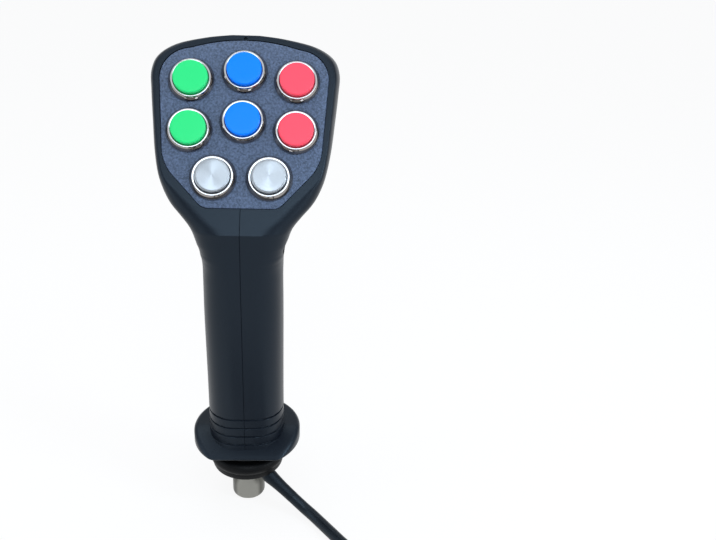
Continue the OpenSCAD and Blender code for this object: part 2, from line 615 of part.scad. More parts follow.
// Smooth change of radius from a to b between two heights
function eased(a, b, z0, z1, n) =
    [for (k = [0:n]) let (t = k / n) [a + (b - a) * (1 - cos(180 * t)) / 2, z0 + (z1 - z0) * t]];
module lever_adapter() color([0.75, 0.76, 0.78]) difference() {
    union() {
        rotate_extrude() polygon(concat([[0, 0]],
            [for (k = [0:4]) let (q = 90 * k / 4)
                [foot_r - foot_edge + foot_edge * sin(q), foot_edge * (1 - cos(q))]],
            eased(foot_r, waist_r, foot_h, waist_z, 8), eased(waist_r, shank_r, waist_z + 0.6, neck_in_z, 5),
            [[shank_r, flange_z - snug], [0, flange_z - snug]]));
        cylinder(d = stud_d, h = tower_top - 0.5);
    }
    translate([0, 0, -past]) cylinder(r = socket_r, h = socket_l + past);
    for (y = [flats_af / 2, -flats_af / 2 - foot_d]) translate([-foot_d, y, -past])
        cube([2 * foot_d, foot_d, flats_h + past]);
    along_x(0, pin_z) translate([0, 0, -foot_d])
        cylinder(d = cross_pin_d + 2 * close_fit, h = 2 * foot_d);
}
module cross_pin() color([0.6, 0.6, 0.62])
    translate([-tower_r + 0.4, 0, 0]) along_x(0, pin_z) cylinder(d = cross_pin_d, h = 2 * tower_r - 0.8);

gland_at = [9.6, -8];
gland_r = 3.9;
collar_r_out = collar_d / 2;
fold_r_out = fold_d / 2;
fold_round = 3.4;
collar_round = 2.5;
fold_z = boot_z + 6;
collar_z = flange_z - 3;
base_r = fold_r_out - 1.6;
module rubber_boot() color([0.05, 0.05, 0.055]) difference() {
    rotate_extrude() difference() {
        union() {
            polygon([[0, boot_z], [base_r, boot_z], [base_r + 0.3, boot_z + 2.4],
                     [fold_r_out - fold_round, fold_z + fold_round], [collar_r_out - 1.9, fold_z + 4.4],
                     [collar_r_out - 1.7, flange_z - snug], [0, flange_z - snug]]);
            translate([fold_r_out - fold_round, fold_z]) circle(fold_round);
            translate([collar_r_out - collar_round, collar_z]) circle(collar_round);
        }
        polygon([[0, boot_z - past], [shank_r + snug, boot_z - past], [shank_r + snug, boot_z + 2],
                 [base_r - boot_wall, boot_z + 2], [base_r - boot_wall, fold_z - 1],
                 [fold_r_out - fold_round - 0.4, fold_z + fold_round - boot_wall - 0.6],
                 [spigot_r + snug, fold_z + 3.2], [spigot_r + snug, flange_z + past], [0, flange_z + past]]);
        translate([fold_r_out - fold_round, fold_z]) circle(fold_round - boot_wall);
    }
    translate([gland_at[0], gland_at[1], boot_z - past]) cylinder(r = gland_r + snug / 2, h = 2 + 2 * past);
}
head_r = 3.5;
head_l = 3.6;
module through_bolt(at, reach) color([0.55, 0.56, 0.58]) difference() {
    union() {
        translate([-reach - bolt_nut_l, 0, 0]) along_x(at[0], at[1])
            cylinder(d = bolt_d, h = 2 * reach + bolt_nut_l);
        translate([reach, 0, 0]) along_x(at[0], at[1]) cylinder(r = head_r, h = head_l);
    }
    translate([reach + head_l - 2, 0, 0]) along_x(at[0], at[1]) cylinder(d = 3.4, h = 3, $fn = 6);
}
bolt_nut_l = 3.2;
module bolt_nut(at, reach) translate([-reach - bolt_nut_l, 0, 0]) along_x(at[0], at[1]) difference() {
    cylinder(d = bolt_nut_af * 2 / sqrt(3), h = bolt_nut_l, $fn = 6);
    translate([0, 0, -past]) cylinder(d = bolt_d + 2 * close_fit, h = bolt_nut_l + 2 * past);
}
module head_bolt() through_bolt(head_bolt_at, head_bolt_at_side);
module neck_bolt() through_bolt(neck_bolt_at, neck_bolt_at_side);
module bolt_nuts() color([0.55, 0.56, 0.58]) {
    bolt_nut(head_bolt_at, head_bolt_at_side);
    bolt_nut(neck_bolt_at, neck_bolt_at_side);
}

// ---- cable ----
cable_r = cable_d / 2;
module rod(a, b, r) {
    v = b - a;
    translate(a) rotate([0, acos(v[2] / norm(v)), atan2(v[1], v[0])]) cylinder(r = r, h = norm(v));
}
// Loom: from the gland through the floor, up the grip and into the head
loom_drop = 36;               // from the neck down to where the loom leaves the floor's hole for the grip
loom = [[gland_at[0], gland_at[1], boot_z + 4.2], [gland_at[0] - 0.1, gland_at[1] + 0.1, boot_z + 5],
        [loom_at[0], loom_at[1], flange_z - spigot_l - 0.9], [loom_at[0], loom_at[1], flange_z],
        [loom_at[0], loom_at[1], flange_top + 15], [loom_at[0], loom_at[1], neck_h - loom_drop],
        [loom_at[0], loom_at[1] + 1, neck_h - loom_drop / 2], [3, 5.5, neck_h + 1], [0, 7, neck_h + 9],
        concat([0], on_panel(steel_v, 17))];
module wiring_loom() color([0.1, 0.1, 0.1]) tube(loom, loom_d / 2, [1, 0, 0]);
// Gland: an upright neck in the boot, an elbow and a tapered sleeve along the cable
exit_line = [0.72, -0.43, -0.47];
exit_dir = exit_line / norm(exit_line);
elbow = [gland_at[0], gland_at[1], boot_z - 2.6];
sleeve_l = 20;
sleeve_r = 3.95;
sleeve_end = elbow + exit_dir * sleeve_l;
module cable_gland() color([0.05, 0.05, 0.055]) {
    neck_r = gland_r - snug / 2;
    translate(elbow) cylinder(r = neck_r, h = boot_z + 4 - elbow[2]);
    translate(elbow) sphere(r = neck_r);
    intersection() {
        translate([gland_at[0], gland_at[1], boot_z + 2 + snug]) cylinder(r = gland_r + 0.9, h = 1.4);
        difference() {
            cylinder(r = base_r - boot_wall - snug, h = flange_z);
            translate([0, 0, -past]) cylinder(r = shank_r + snug, h = flange_z + 2 * past);
        }
    }
    translate(elbow) rotate([0, acos(exit_dir[2]), atan2(exit_dir[1], exit_dir[0])]) rotate_extrude()
        polygon([[0, 0], [neck_r, 0], [sleeve_r, 4.5], [sleeve_r, 6],
                 [cable_r + 0.3, sleeve_l], [0, sleeve_l]]);
}

// Route of the cable past the gland, along the surface and into the coil
coil_at = [30, -102];
coil_lift = 0.8;              // the tie's strap lies under the turns
route = [[31.1, -20.9, 5], [34.9, -24.3, 3.8], [39.1, -29.1, 3.1], [44.3, -36, 3], [48.8, -42.1, 3],
         [53.7, -48.7, 3], [58.2, -56.5, 3], [62, -66, 3], [65.2, -77, 3], [67.6, -88, 3.3]];
run_points = concat([sleeve_end, sleeve_end + 2 * exit_dir, sleeve_end + 4 * exit_dir], route,
                    [[coil_at[0] + coil_r + cable_d, coil_at[1] + 3, coil_lift + cable_r]]);
plug_h = 17;
tail_y = coil_at[1] - coil_r - cable_r;
tail_end = coil_at[0] - 32;
tail_points = [[coil_at[0] - 15, tail_y, plug_h / 2 + 0.6], [coil_at[0] - 21, tail_y, plug_h / 2 + 0.2],
               [tail_end + 6, tail_y, plug_h / 2], [tail_end + 3, tail_y, plug_h / 2],
               [tail_end, tail_y, plug_h / 2]];
tube_sides = 10;
tube_steps = 2;
function path_at(pts, u) = let (n = len(pts) - 1, i = min(floor(u), n - 1), t = u - i,
        a = i > 0 ? pts[i - 1] : 2 * pts[0] - pts[1], d = i + 2 <= n ? pts[i + 2] : 2 * pts[n] - pts[n - 1])
    spline(a, pts[i], pts[i + 1], d, t);
// A tube of one polyhedron swept along the points; no stretch of them runs along the vector up
module tube(pts, r, up = [0, 0, 1]) {
    n = (len(pts) - 1) * tube_steps;
    centres = [for (k = [0:n]) path_at(pts, k / tube_steps)];
    verts = [for (k = [0:n]) let (v = centres[min(k + 1, n)] - centres[max(k - 1, 0)], u = v / norm(v),
                 s = cross(u, up) / norm(cross(u, up)), w = cross(s, u))
             for (j = [0:tube_sides - 1]) let (q = 360 * (j + 0.5) / tube_sides)
                 centres[k] + r * (cos(q) * s + sin(q) * w)];
    walls = [for (k = [0:n - 1], j = [0:tube_sides - 1])
             let (jj = (j + 1) % tube_sides, a = k * tube_sides, b = a + tube_sides)
             each [[a + j, a + jj, b + jj], [a + j, b + jj, b + j]]];
    first = [for (j = [1:tube_sides - 2]) [0, j + 1, j]];
    end = [for (j = [1:tube_sides - 2]) [0, j, j + 1] + n * tube_sides * [1, 1, 1]];
    polyhedron(verts, concat(walls, first, end));
}
module cable_run() color([0.05, 0.05, 0.055]) {
    tube(run_points, cable_r);
    tube(tail_points, cable_r);
}
module cable_coil() color([0.05, 0.05, 0.055]) translate([coil_at[0], coil_at[1], coil_lift])
    rotate_extrude() translate([coil_r - cable_d, 0]) square([2 * cable_d, 2 * cable_d]);
tie_w = 8;
tie_t = 0.6;
tie_room = 0.5;               // the turns curve inside the straight tie
module coil_tie() color([0.15, 0.15, 0.15]) translate([coil_at[0] - coil_r, coil_at[1], 0]) difference() {
    half = cable_d + tie_room;
    translate([-half - tie_t, -tie_w / 2, 0])
        cube([2 * (half + tie_t), tie_w, coil_lift + 2 * cable_d + snug + tie_t]);
    translate([-half, -tie_w / 2 - past, coil_lift - snug])
        cube([2 * half, tie_w + 2 * past, 2 * cable_d + 2 * snug]);
}

// ---- connector on the far end, lying beside the coil and pointing to -X ----
plug_w = 26;
plug_l = 30;
plug_round = 2.5;
ways = 6;
contact_pitch = 3.6;
grip_l = 4;                   // how far the boot grips the cable
boot_l = 18;
rear_x = tail_end + grip_l - boot_l;
module at_connector() translate([rear_x, tail_y, plug_h / 2]) rotate([0, -90, 0]) children();
module rounded_block(h, w, l) linear_extrude(l) union() {
    square([h - 2 * plug_round, w], center = true);
    square([h, w - 2 * plug_round], center = true);
    for (a = [-1, 1], b = [-1, 1]) translate([a * (h / 2 - plug_round), b * (w / 2 - plug_round)])
        circle(plug_round);
}
mouth = 8;
plug_wall = 2;
contact_x = 3;
contact_d = 1.8;
contact_l = 5;
lock_t = 1.8;
plug_seal_t = 1.6;
module connector_body() color([0.1, 0.1, 0.1]) at_connector() difference() {
    rounded_block(plug_h, plug_w, plug_l);
    translate([plug_wall - plug_h / 2, plug_wall - plug_w / 2, plug_l - mouth])
        cube([plug_h - 2 * plug_wall, plug_w - 2 * plug_wall, mouth + past]);
    for (i = [0:ways - 1], a = [-contact_x, contact_x])
        translate([a, (i - (ways - 1) / 2) * contact_pitch, plug_l - mouth - contact_l])
            cylinder(d = contact_d, h = contact_l + past);
}
module connector_lock() color([0.9, 0.45, 0.1]) at_connector()
    translate([-lock_t / 2, 3.5 - plug_w / 2, plug_l - mouth]) cube([lock_t, plug_w - 7, mouth - 2]);
module connector_seal() color([0.75, 0.35, 0.1]) at_connector() translate([0, 0, -plug_seal_t])
    rounded_block(plug_h - 3, plug_w - 3, plug_seal_t);
module connector_boot() color([0.07, 0.07, 0.07]) at_connector() translate([0, 0, -boot_l]) difference() {
    end = boot_l - plug_seal_t;
    rotate_extrude() polygon([[0, 0], [cable_r + 1, 0], [6.4, 11], [6.8, 12], [6.8, end], [0, end]]);
    translate([0, 0, -past]) cylinder(r = cable_r + close_fit, h = grip_l + past);
}

left_shell();
right_shell();
face_plate();
green_cap_upper();
green_cap_lower();
blue_cap_upper();
blue_cap_lower();
red_cap_upper();
red_cap_lower();
steel_cap_left();
steel_cap_right();
green_bush_upper();
green_bush_lower();
blue_bush_upper();
blue_bush_lower();
red_bush_upper();
red_bush_lower();
steel_bush_left();
steel_bush_right();
green_switch_upper();
green_switch_lower();
blue_switch_upper();
blue_switch_lower();
red_switch_upper();
red_switch_lower();
steel_switch_left();
steel_switch_right();
green_spring_upper();
green_spring_lower();
blue_spring_upper();
blue_spring_lower();
red_spring_upper();
red_spring_lower();
steel_spring_left();
steel_spring_right();
bush_nuts();
bush_seals();
trigger();
trigger_pin();
trigger_spring();
microswitch();
microswitch_plunger();
microswitch_screws();
lever_adapter();
cross_pin();
rubber_boot();
head_bolt();
neck_bolt();
bolt_nuts();
cable_gland();
wiring_loom();
cable_run();
cable_coil();
coil_tie();
connector_body();
connector_lock();
connector_seal();
connector_boot();
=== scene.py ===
import math

import bmesh
import bpy
from mathutils import Matrix, Vector


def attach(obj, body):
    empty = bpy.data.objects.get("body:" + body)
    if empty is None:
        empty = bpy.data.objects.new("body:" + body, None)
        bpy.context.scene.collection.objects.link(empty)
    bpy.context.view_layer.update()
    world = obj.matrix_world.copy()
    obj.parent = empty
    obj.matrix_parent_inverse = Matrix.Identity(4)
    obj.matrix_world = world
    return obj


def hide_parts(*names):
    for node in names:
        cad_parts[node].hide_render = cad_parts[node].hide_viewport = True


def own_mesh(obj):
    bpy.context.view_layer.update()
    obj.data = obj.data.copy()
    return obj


bl_info = {
    "name": "Industrial joystick",
    "version": (1, 0, 0),
    "blender": (4, 5, 0),
    "location": "View3D > Sidebar > Joystick",
    "description": "Builds a control lever grip with push buttons, trigger, boot, adapter and cable",
    "category": "Add Mesh",
}

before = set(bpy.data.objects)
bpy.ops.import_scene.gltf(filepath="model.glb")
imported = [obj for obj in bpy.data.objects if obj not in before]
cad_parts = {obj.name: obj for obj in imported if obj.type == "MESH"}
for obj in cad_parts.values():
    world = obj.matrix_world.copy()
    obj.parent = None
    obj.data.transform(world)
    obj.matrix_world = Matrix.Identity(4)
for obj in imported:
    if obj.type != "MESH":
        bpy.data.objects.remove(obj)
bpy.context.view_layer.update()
MM = 0.001
PAST = 1.0          # how far a cutter runs past a face, in millimetres
ROOM = 0.3          # room between moving faces, in millimetres

# Colours, linear
SHELL = (0.0035, 0.0052, 0.0095)
PLATE = (0.063, 0.086, 0.146)
STEEL = (0.62, 0.63, 0.65)
TURNED_STEEL = (0.36, 0.39, 0.42)
CHROME = (0.55, 0.56, 0.58)
# dark colour on the bezels' slope: a painted reflection of dark surroundings
SLOPE_PAINTED_REFLECTION = (0.33, 0.31, 0.30)
ALUMINIUM = (0.11, 0.11, 0.10)
# lighter tone on the adapter's flats and the faces by them: a painted highlight
MILLED_FLAT_HIGHLIGHT = (0.28, 0.28, 0.257)
RUBBER = (0.0035, 0.0038, 0.0045)
JACKET = (0.004, 0.005, 0.0075)
NYLON = (0.02, 0.02, 0.022)
CONNECTOR = (0.012, 0.012, 0.014)
LOCK = (0.85, 0.22, 0.03)
SILICONE = (0.55, 0.12, 0.03)
PLUNGER = (0.6, 0.5, 0.32)
COOL_SHEEN = (0.62, 0.82, 1.0)      # tint of the reflections on the dark plastics


# ---------------------------------------------------------------- settings
class JoystickSizes(bpy.types.PropertyGroup):
    """Main sizes. The grip and the head are a little fuller than the CAD model's; the rest are the same."""

    panel_lean: bpy.props.FloatProperty(
        name="Panel lean", description="Lean of the button panel from upright",
        default=math.radians(37), unit="ROTATION")
    crease: bpy.props.FloatProperty(
        name="Crease height", description="Height of the crease where the panel starts",
        default=0.158, unit="LENGTH")
    grip_width: bpy.props.FloatProperty(
        name="Grip width", description="Width of the straight grip",
        default=0.039, unit="LENGTH")
    head_width: bpy.props.FloatProperty(
        name="Head width", description="Width of the head at its widest",
        default=0.091, unit="LENGTH")
    bezel: bpy.props.FloatProperty(
        name="Bezel diameter", description="Diameter of the push buttons' bezels",
        default=0.022, unit="LENGTH")
    cap: bpy.props.FloatProperty(
        name="Cap diameter", description="Diameter of the push buttons' caps",
        default=0.0165, unit="LENGTH")
    flange: bpy.props.FloatProperty(
        name="Flange diameter", description="Diameter of the hand rest",
        default=0.0554, unit="LENGTH")
    cable: bpy.props.FloatProperty(
        name="Cable diameter", description="Outer diameter of the cable",
        default=0.006, unit="LENGTH")


class JoystickColours(bpy.types.PropertyGroup):
    """Colours that a maker would change."""

    green: bpy.props.FloatVectorProperty(
        name="Green caps", description="Colour of the left pair of buttons",
        subtype="COLOR", size=3, min=0, max=1, default=(0.022, 0.66, 0.19))
    blue: bpy.props.FloatVectorProperty(
        name="Blue caps", description="Colour of the middle pair of buttons",
        subtype="COLOR", size=3, min=0, max=1, default=(0.0, 0.20, 1.0))
    red: bpy.props.FloatVectorProperty(
        name="Red caps", description="Colour of the right pair of buttons",
        subtype="COLOR", size=3, min=0, max=1, default=(0.95, 0.075, 0.12))
    trigger: bpy.props.FloatVectorProperty(
        name="Trigger", description="Colour of the trigger bar",
        subtype="COLOR", size=3, min=0, max=1, default=(0.42, 0.018, 0.085))


def sizes():
    """The scene's sizes, in metres."""
    return bpy.context.scene.joystick_sizes


def colours():
    """The scene's colours."""
    return bpy.context.scene.joystick_colours


# ---------------------------------------------------------------- places, in millimetres
# A place on the panel is (x, v): v runs up the panel from the crease at its foot.
CREASE_Y = -14.0
FLANGE_Z = 36.5         # underside of the hand rest
FLANGE_T = 8.0          # its thickness at the back
FLANGE_TOP = FLANGE_Z + FLANGE_T
FLANGE_FRONT = 21.8     # reach of its straight front
FLANGE_FALL = 7.1       # how far its top falls towards the front
APRON = FLANGE_TOP - FLANGE_FALL
GRIP_FRONT = -16.5
GRIP_BACK = 19.5
NECK_DROP = 14.0        # from the crease down to the neck
NECK_HALF = 19.9        # half the neck's width

STEEL_V = 27.6          # row of the steel buttons
ROW_LOW = STEEL_V + 23
ROW_UP = ROW_LOW + 25
ARCH = 4.7              # how far the middle buttons stand above their rows
PITCH_X = 25.0
STEEL_X = 13.0
BUTTONS = {
    "green_upper": (-PITCH_X, ROW_UP), "green_lower": (-PITCH_X, ROW_LOW),
    "blue_upper": (0.0, ROW_UP + ARCH), "blue_lower": (0.0, ROW_LOW + ARCH),
    "red_upper": (PITCH_X, ROW_UP), "red_lower": (PITCH_X, ROW_LOW),
    "steel_left": (-STEEL_X, STEEL_V), "steel_right": (STEEL_X, STEEL_V),
}

PLATE_V = STEEL_V - 14.6        # foot of the face plate
PLATE_TOP = ROW_UP + ARCH + 16.1
PLATE_W = 80.6
PLATE_T = 3.0
RIM = 1.8                       # width of the housing's edge round the plate
HEAD_T = 35.6                   # depth of the head behind the panel

TRIGGER_TOP = 137.5
TRIGGER_L = 39.0
TRIGGER_W = 10.6
TRIGGER_PROUD = 2.8             # how far the bar stands out of the grip
TRIGGER_FACE = GRIP_BACK - 4    # inner face of the bar
PIVOT = (GRIP_BACK - 8.5, TRIGGER_TOP - 6.5)
PIN_HOLE_R = 1.55

NECK_BOLT = (-2.0, 148.5)
HEAD_BOLT_PAST = 7.7            # head bolt, past the upper middle button
HEAD_BOLT_DEEP = 21.0           # and behind the panel
NECK_REACH = 15.0               # from the middle to the pockets' floors
HEAD_REACH = 29.0

TOWER_R = 8.6                   # column in the housing that takes the adapter's stud
TOWER_TOP = FLANGE_TOP + 21
STUD_HOLE_R = 6.1
CROSS_PIN_Z = FLANGE_TOP + 13
CROSS_PIN_R = 2.05
SPIGOT_R = 13.75                # ring under the hand rest that the boot grips
SPIGOT_L = 6.0
SHANK_HOLE_R = 8.4
LOOM_AT = (8.3, -6.9)
GLAND_AT = (9.6, -8.0)
BOOT_Z = 21.5                   # underside of the boot


def lean():
    """Lean of the panel from upright."""
    return sizes().panel_lean


def crease_z():
    """Height of the crease."""
    return sizes().crease / MM


def cad_name(button, piece):
    """CAD node of a button's piece: green_upper and cap give green_cap_upper."""
    colour, place = button.split("_")
    return f"{colour}_{piece}_{place}"


def on_panel(v, deep=0.0):
    """(y, z) of the point v up the panel and deep behind it."""
    a = lean()
    return (CREASE_Y + v * math.sin(a) + deep * math.cos(a),
            crease_z() + v * math.cos(a) - deep * math.sin(a))


def panel_matrix(x=0.0, v=0.0, z=0.0):
    """Frame at (x, v) on the panel and z above it, with Z along its outward normal."""
    foot = Matrix.Translation((0, CREASE_Y, crease_z()))
    return foot @ Matrix.Rotation(math.pi / 2 - lean(), 4, "X") @ Matrix.Translation((x, v, z))


def along_x(y, z, start=0.0):
    """Frame at (start, y, z) with its Z axis along +X."""
    return Matrix.Translation((start, y, z)) @ Matrix.Rotation(math.pi / 2, 4, "Y")


def head_bolt():
    """(y, z) of the head bolt."""
    return on_panel(ROW_UP + ARCH + HEAD_BOLT_PAST, HEAD_BOLT_DEEP)


# ---------------------------------------------------------------- meshes
def spline(a, b, c, d, t):
    """Smooth curve from b to c that also heeds a and d."""
    return 0.5 * (2 * b + (c - a) * t + (2 * a - 5 * b + 4 * c - d) * t * t
                  + (3 * b - a - 3 * c + d) * t ** 3)


def within(value, low, high):
    """The value, kept between low and high."""
    return min(max(value, low), high)


def placed(name, mesh):
    """New object with this mesh, in the scene."""
    obj = bpy.data.objects.new(name, mesh)
    bpy.context.scene.collection.objects.link(obj)
    return obj


def merge_doubles(mesh, distance, outward=False):
    """Joins points that lie on each other, and turns the normals outward if asked."""
    bm = bmesh.new()
    bm.from_mesh(mesh)
    bmesh.ops.remove_doubles(bm, verts=bm.verts, dist=distance)
    if outward:
        bmesh.ops.recalc_face_normals(bm, faces=bm.faces)
    bm.to_mesh(mesh)
    bm.free()


def object_from(name, verts, faces, matrix=None):
    """New object from millimetre points, with its normals outward."""
    points = [matrix @ Vector(p) for p in verts] if matrix else verts
    mesh = bpy.data.meshes.new(name)
    mesh.from_pydata([tuple(c * MM for c in p) for p in points], [], faces)
    merge_doubles(mesh, 1e-6, outward=True)
    return placed(name, mesh)


def revolved(name, profile, matrix=None, segments=96):
    """Solid of revolution about Z from (radius, height) pairs; a profile off the axis closes on itself."""
    turns = [2 * math.pi * k / segments for k in range(segments)]
    verts, rings = [], []
    for r, z in profile:
        first = len(verts)
        if r < 1e-9:
            verts.append((0, 0, z))
        else:
            verts += [(r * math.cos(q), r * math.sin(q), z) for q in turns]
        rings.append(range(first, len(verts)))
    if len(rings[0]) > 1 or len(rings[-1]) > 1:
        rings.append(rings[0])
    faces = []
    for a, b in zip(rings, rings[1:]):
        for k in range(segments):
            j = (k + 1) % segments
            if len(a) > 1 and len(b) > 1:
                faces.append((a[k], a[j], b[j], b[k]))
            elif len(b) > 1:
                faces.append((a[0], b[k], b[j]))
            elif len(a) > 1:
                faces.append((a[k], a[j], b[0]))
    return object_from(name, verts, faces, matrix)


def loft(name, sections, matrix=None):
    """Closed solid through sections that have equally many points."""
    n = len(sections[0])
    verts = [p for section in sections for p in section]
    rings = [range(k * n, (k + 1) * n) for k in range(len(sections))]
    faces = [tuple(rings[0]), tuple(reversed(rings[-1]))]
    for a, b in zip(rings, rings[1:]):
        for j in range(n):
            i = (j + 1) % n
            faces.append((a[j], b[j], b[i], a[i]))
    return object_from(name, verts, faces, matrix)


def prism(name, outline, z0, z1, matrix=None, edge=0.0):
    """Straight prism over an outline, with its top edge rounded to edge."""
    layers = [(outline, z0), (outline, z1 - edge)]
    if edge:
        for a in (math.pi / 8, math.pi / 4, 3 * math.pi / 8, math.pi / 2):
            layers.append((grown(outline, -edge * (1 - math.cos(a))), z1 - edge * (1 - math.sin(a))))
    return loft(name, [[(x, y, z) for x, y in loop] for loop, z in layers], matrix)


def block(name, low, high, matrix=None):
    """Box between two corners."""
    (x0, y0, z0), (x1, y1, z1) = low, high
    return prism(name, [(x0, y0), (x1, y0), (x1, y1), (x0, y1)], z0, z1, matrix)


def rounded_box(name, low, high, r):
    """Box whose edges are all rounded to r."""
    obj = block(name, low, high)
    bm = bmesh.new()
    bm.from_mesh(obj.data)
    bmesh.ops.bevel(bm, geom=bm.edges[:], offset=r * MM, segments=5, profile=0.5, affect="EDGES")
    bm.to_mesh(obj.data)
    bm.free()
    return obj


def rod(name, r, length, matrix, segments=48):
    """Cylinder of radius r from the frame's origin along its Z."""
    return revolved(name, [(0, 0), (r, 0), (r, length), (0, length)], matrix, segments)


def arc(centre, r, first, last, steps):
    """Points of an arc about a centre, between two angles."""
    turns = (first + (last - first) * k / steps for k in range(steps + 1))
    return [(centre[0] + r * math.cos(q), centre[1] + r * math.sin(q)) for q in turns]


def grown(loop, g):
    """The closed outline moved outwards by g."""
    n, out = len(loop), []
    for i in range(n):
        tx = loop[(i + 1) % n][0] - loop[i - 1][0]
        ty = loop[(i + 1) % n][1] - loop[i - 1][1]
        size = math.hypot(tx, ty)
        out.append((loop[i][0] + g * ty / size, loop[i][1] - g * tx / size))
    return out


def combine(obj, others, operation):
    """Boolean of obj with the others, which are then removed."""
    for other in others:
        tool = obj.modifiers.new("Cut", "BOOLEAN")
        tool.operation = operation
        tool.solver = "MANIFOLD"
        tool.object = other
    settle(obj)
    for other in others:
        bpy.data.objects.remove(other)
    return obj


def settle(obj):
    """Turns the evaluated object into a plain mesh."""
    graph = bpy.context.evaluated_depsgraph_get()
    mesh = bpy.data.meshes.new_from_object(obj.evaluated_get(graph))
    obj.modifiers.clear()
    obj.data = mesh
    return obj


def merged_copy(node):
    """Copy of a CAD node's mesh with its loose triangles joined."""
    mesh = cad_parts[node].data.copy()
    mesh.name = node + "_made"
    merge_doubles(mesh, 2e-6)
    return placed(mesh.name, mesh)


def finish_piece(obj, body, mat, slot, *nodes, angle=32):
    """Shades and paints a piece, rides it on a body and hides the CAD nodes that it stands for."""
    obj.data.shade_smooth()
    obj.data.set_sharp_from_angle(angle=math.radians(angle))
    obj.data.materials.clear()
    obj.data.materials.append(mat)
    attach(obj, body)
    if nodes:
        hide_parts(*nodes)
    return obj


def paint(node, mat):
    """Gives a shown CAD node a material."""
    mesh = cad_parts[node].data
    mesh.materials.clear()
    mesh.materials.append(mat)


def add_spring(node, mat):
    """Adds a copy of a CAD spring on the grip, with a mesh of its own."""
    spring = finish_piece(merged_copy(node), "grip", mat, "spring_steel", node)
    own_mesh(spring)


# ---------------------------------------------------------------- materials
def material(name, colour, metallic=0.0, roughness=0.5, specular=0.5, sheen_tint=(1, 1, 1), coat=0.0,
             grain=None, mottle=None, rough_grain=None):
    """Procedural material. Each pattern is a pair, its scale and its strength: grain is a bump, mottle a
    change of tone and rough_grain a change of roughness."""
    mat = bpy.data.materials.new(name)
    mat.use_nodes = True
    inputs = mat.node_tree.nodes["Principled BSDF"].inputs
    inputs["Base Color"].default_value = (*colour, 1)
    inputs["Metallic"].default_value = metallic
    inputs["Roughness"].default_value = roughness
    inputs["Specular IOR Level"].default_value = specular
    inputs["Specular Tint"].default_value = (*sheen_tint, 1)
    if coat:
        inputs["Coat Weight"].default_value = coat
        inputs["Coat Roughness"].default_value = 0.08
    if mottle:
        add_mottle(mat, colour, *mottle)
    if rough_grain:
        add_rough_grain(mat, roughness, *rough_grain)
    if grain:
        add_grain(mat, *grain)
    return mat


def noise(mat, scale, detail):
    """Noise on the piece's own coordinates."""
    nodes = mat.node_tree.nodes
    place = nodes.new("ShaderNodeTexCoord")
    texture = nodes.new("ShaderNodeTexNoise")
    texture.inputs["Scale"].default_value = scale
    texture.inputs["Detail"].default_value = detail
    mat.node_tree.links.new(place.outputs["Object"], texture.inputs["Vector"])
    return texture.outputs["Fac"]


def mapped(mat, value, low, high, from_low=0.0, from_high=1.0):
    """The value stretched from one span to another."""
    span = mat.node_tree.nodes.new("ShaderNodeMapRange")
    span.inputs["From Min"].default_value = from_low
    span.inputs["From Max"].default_value = from_high
    span.inputs["To Min"].default_value = low
    span.inputs["To Max"].default_value = high
    mat.node_tree.links.new(value, span.inputs["Value"])
    return span.outputs["Result"]


def blend_colours(mat, share, first, second):
    """Colours the material between two colours, by a share from 0 to 1."""
    nodes, link = mat.node_tree.nodes, mat.node_tree.links.new
    mix = nodes.new("ShaderNodeMix")
    mix.data_type = "RGBA"
    mix.inputs["A"].default_value = (*first, 1)
    mix.inputs["B"].default_value = (*second, 1)
    link(share, mix.inputs["Factor"])
    link(mix.outputs["Result"], nodes["Principled BSDF"].inputs["Base Color"])


def add_mottle(mat, colour, scale, amount):
    """Fine change of tone, lighter and darker than the colour by the amount."""
    share = mapped(mat, noise(mat, scale, 4.0), 0.0, 1.0, 0.35, 0.65)
    dark = tuple(c * (1 - amount) for c in colour)
    light = tuple(min(c * (1 + amount), 1) for c in colour)
    blend_colours(mat, share, dark, light)


def add_rough_grain(mat, roughness, scale, amount):
    """Fine change of roughness."""
    value = mapped(mat, noise(mat, scale, 3.0), max(roughness - amount, 0.02), roughness + amount)
    mat.node_tree.links.new(value, mat.node_tree.nodes["Principled BSDF"].inputs["Roughness"])


def add_grain(mat, scale, depth):
    """Moulded grain, as a bump of this depth in metres."""
    nodes, link = mat.node_tree.nodes, mat.node_tree.links.new
    bump = nodes.new("ShaderNodeBump")
    bump.inputs["Strength"].default_value = 1.0
    bump.inputs["Distance"].default_value = depth
    link(noise(mat, scale, 3.0), bump.inputs["Height"])
    link(bump.outputs["Normal"], nodes["Principled BSDF"].inputs["Normal"])


# ---------------------------------------------------------------- stage
CAMERA_AT = {"azimuth": -2.86, "elevation": 25.53, "roll": 2.08, "distance": 0.417,
             "target": (0.0556, 0.0, 0.135)}
LENS = 43.14
CEILING = ((0.0, 1.0), (0.30, 0.95), (0.36, 0.14), (0.46, 0.2), (0.70, 0.85), (1.0, 1.0))   # height, shade
CEILING_STRENGTH = 1.05
FLOOR_WHITE = (0.86, 0.87, 0.89)
FLOOR_REACH = 3000.0
FLOOR_GLOW = 0.88       # how much of the floor that is seen glows by itself; the rest takes the shadow
COOL_LAMP = (0.78, 0.89, 1.0)
LAMPS = (               # name, place, faced point, width and height, power, colour
    ("front_softbox", (0.04, -0.62, 0.86), (0, 0, 0.19), (0.60, 0.34), 2.3, COOL_LAMP),
    ("top_softbox", (-0.08, 0.22, 0.80), (0, 0.02, 0.15), (0.45, 0.40), 0.9, (1, 1, 1)),
    ("left_softbox", (-0.66, -0.22, 0.40), (0, 0, 0.15), (0.18, 0.50), 0.8, COOL_LAMP),
    ("right_softbox", (0.58, -0.30, 0.50), (0, 0, 0.17), (0.18, 0.50), 2.4, COOL_LAMP),
)


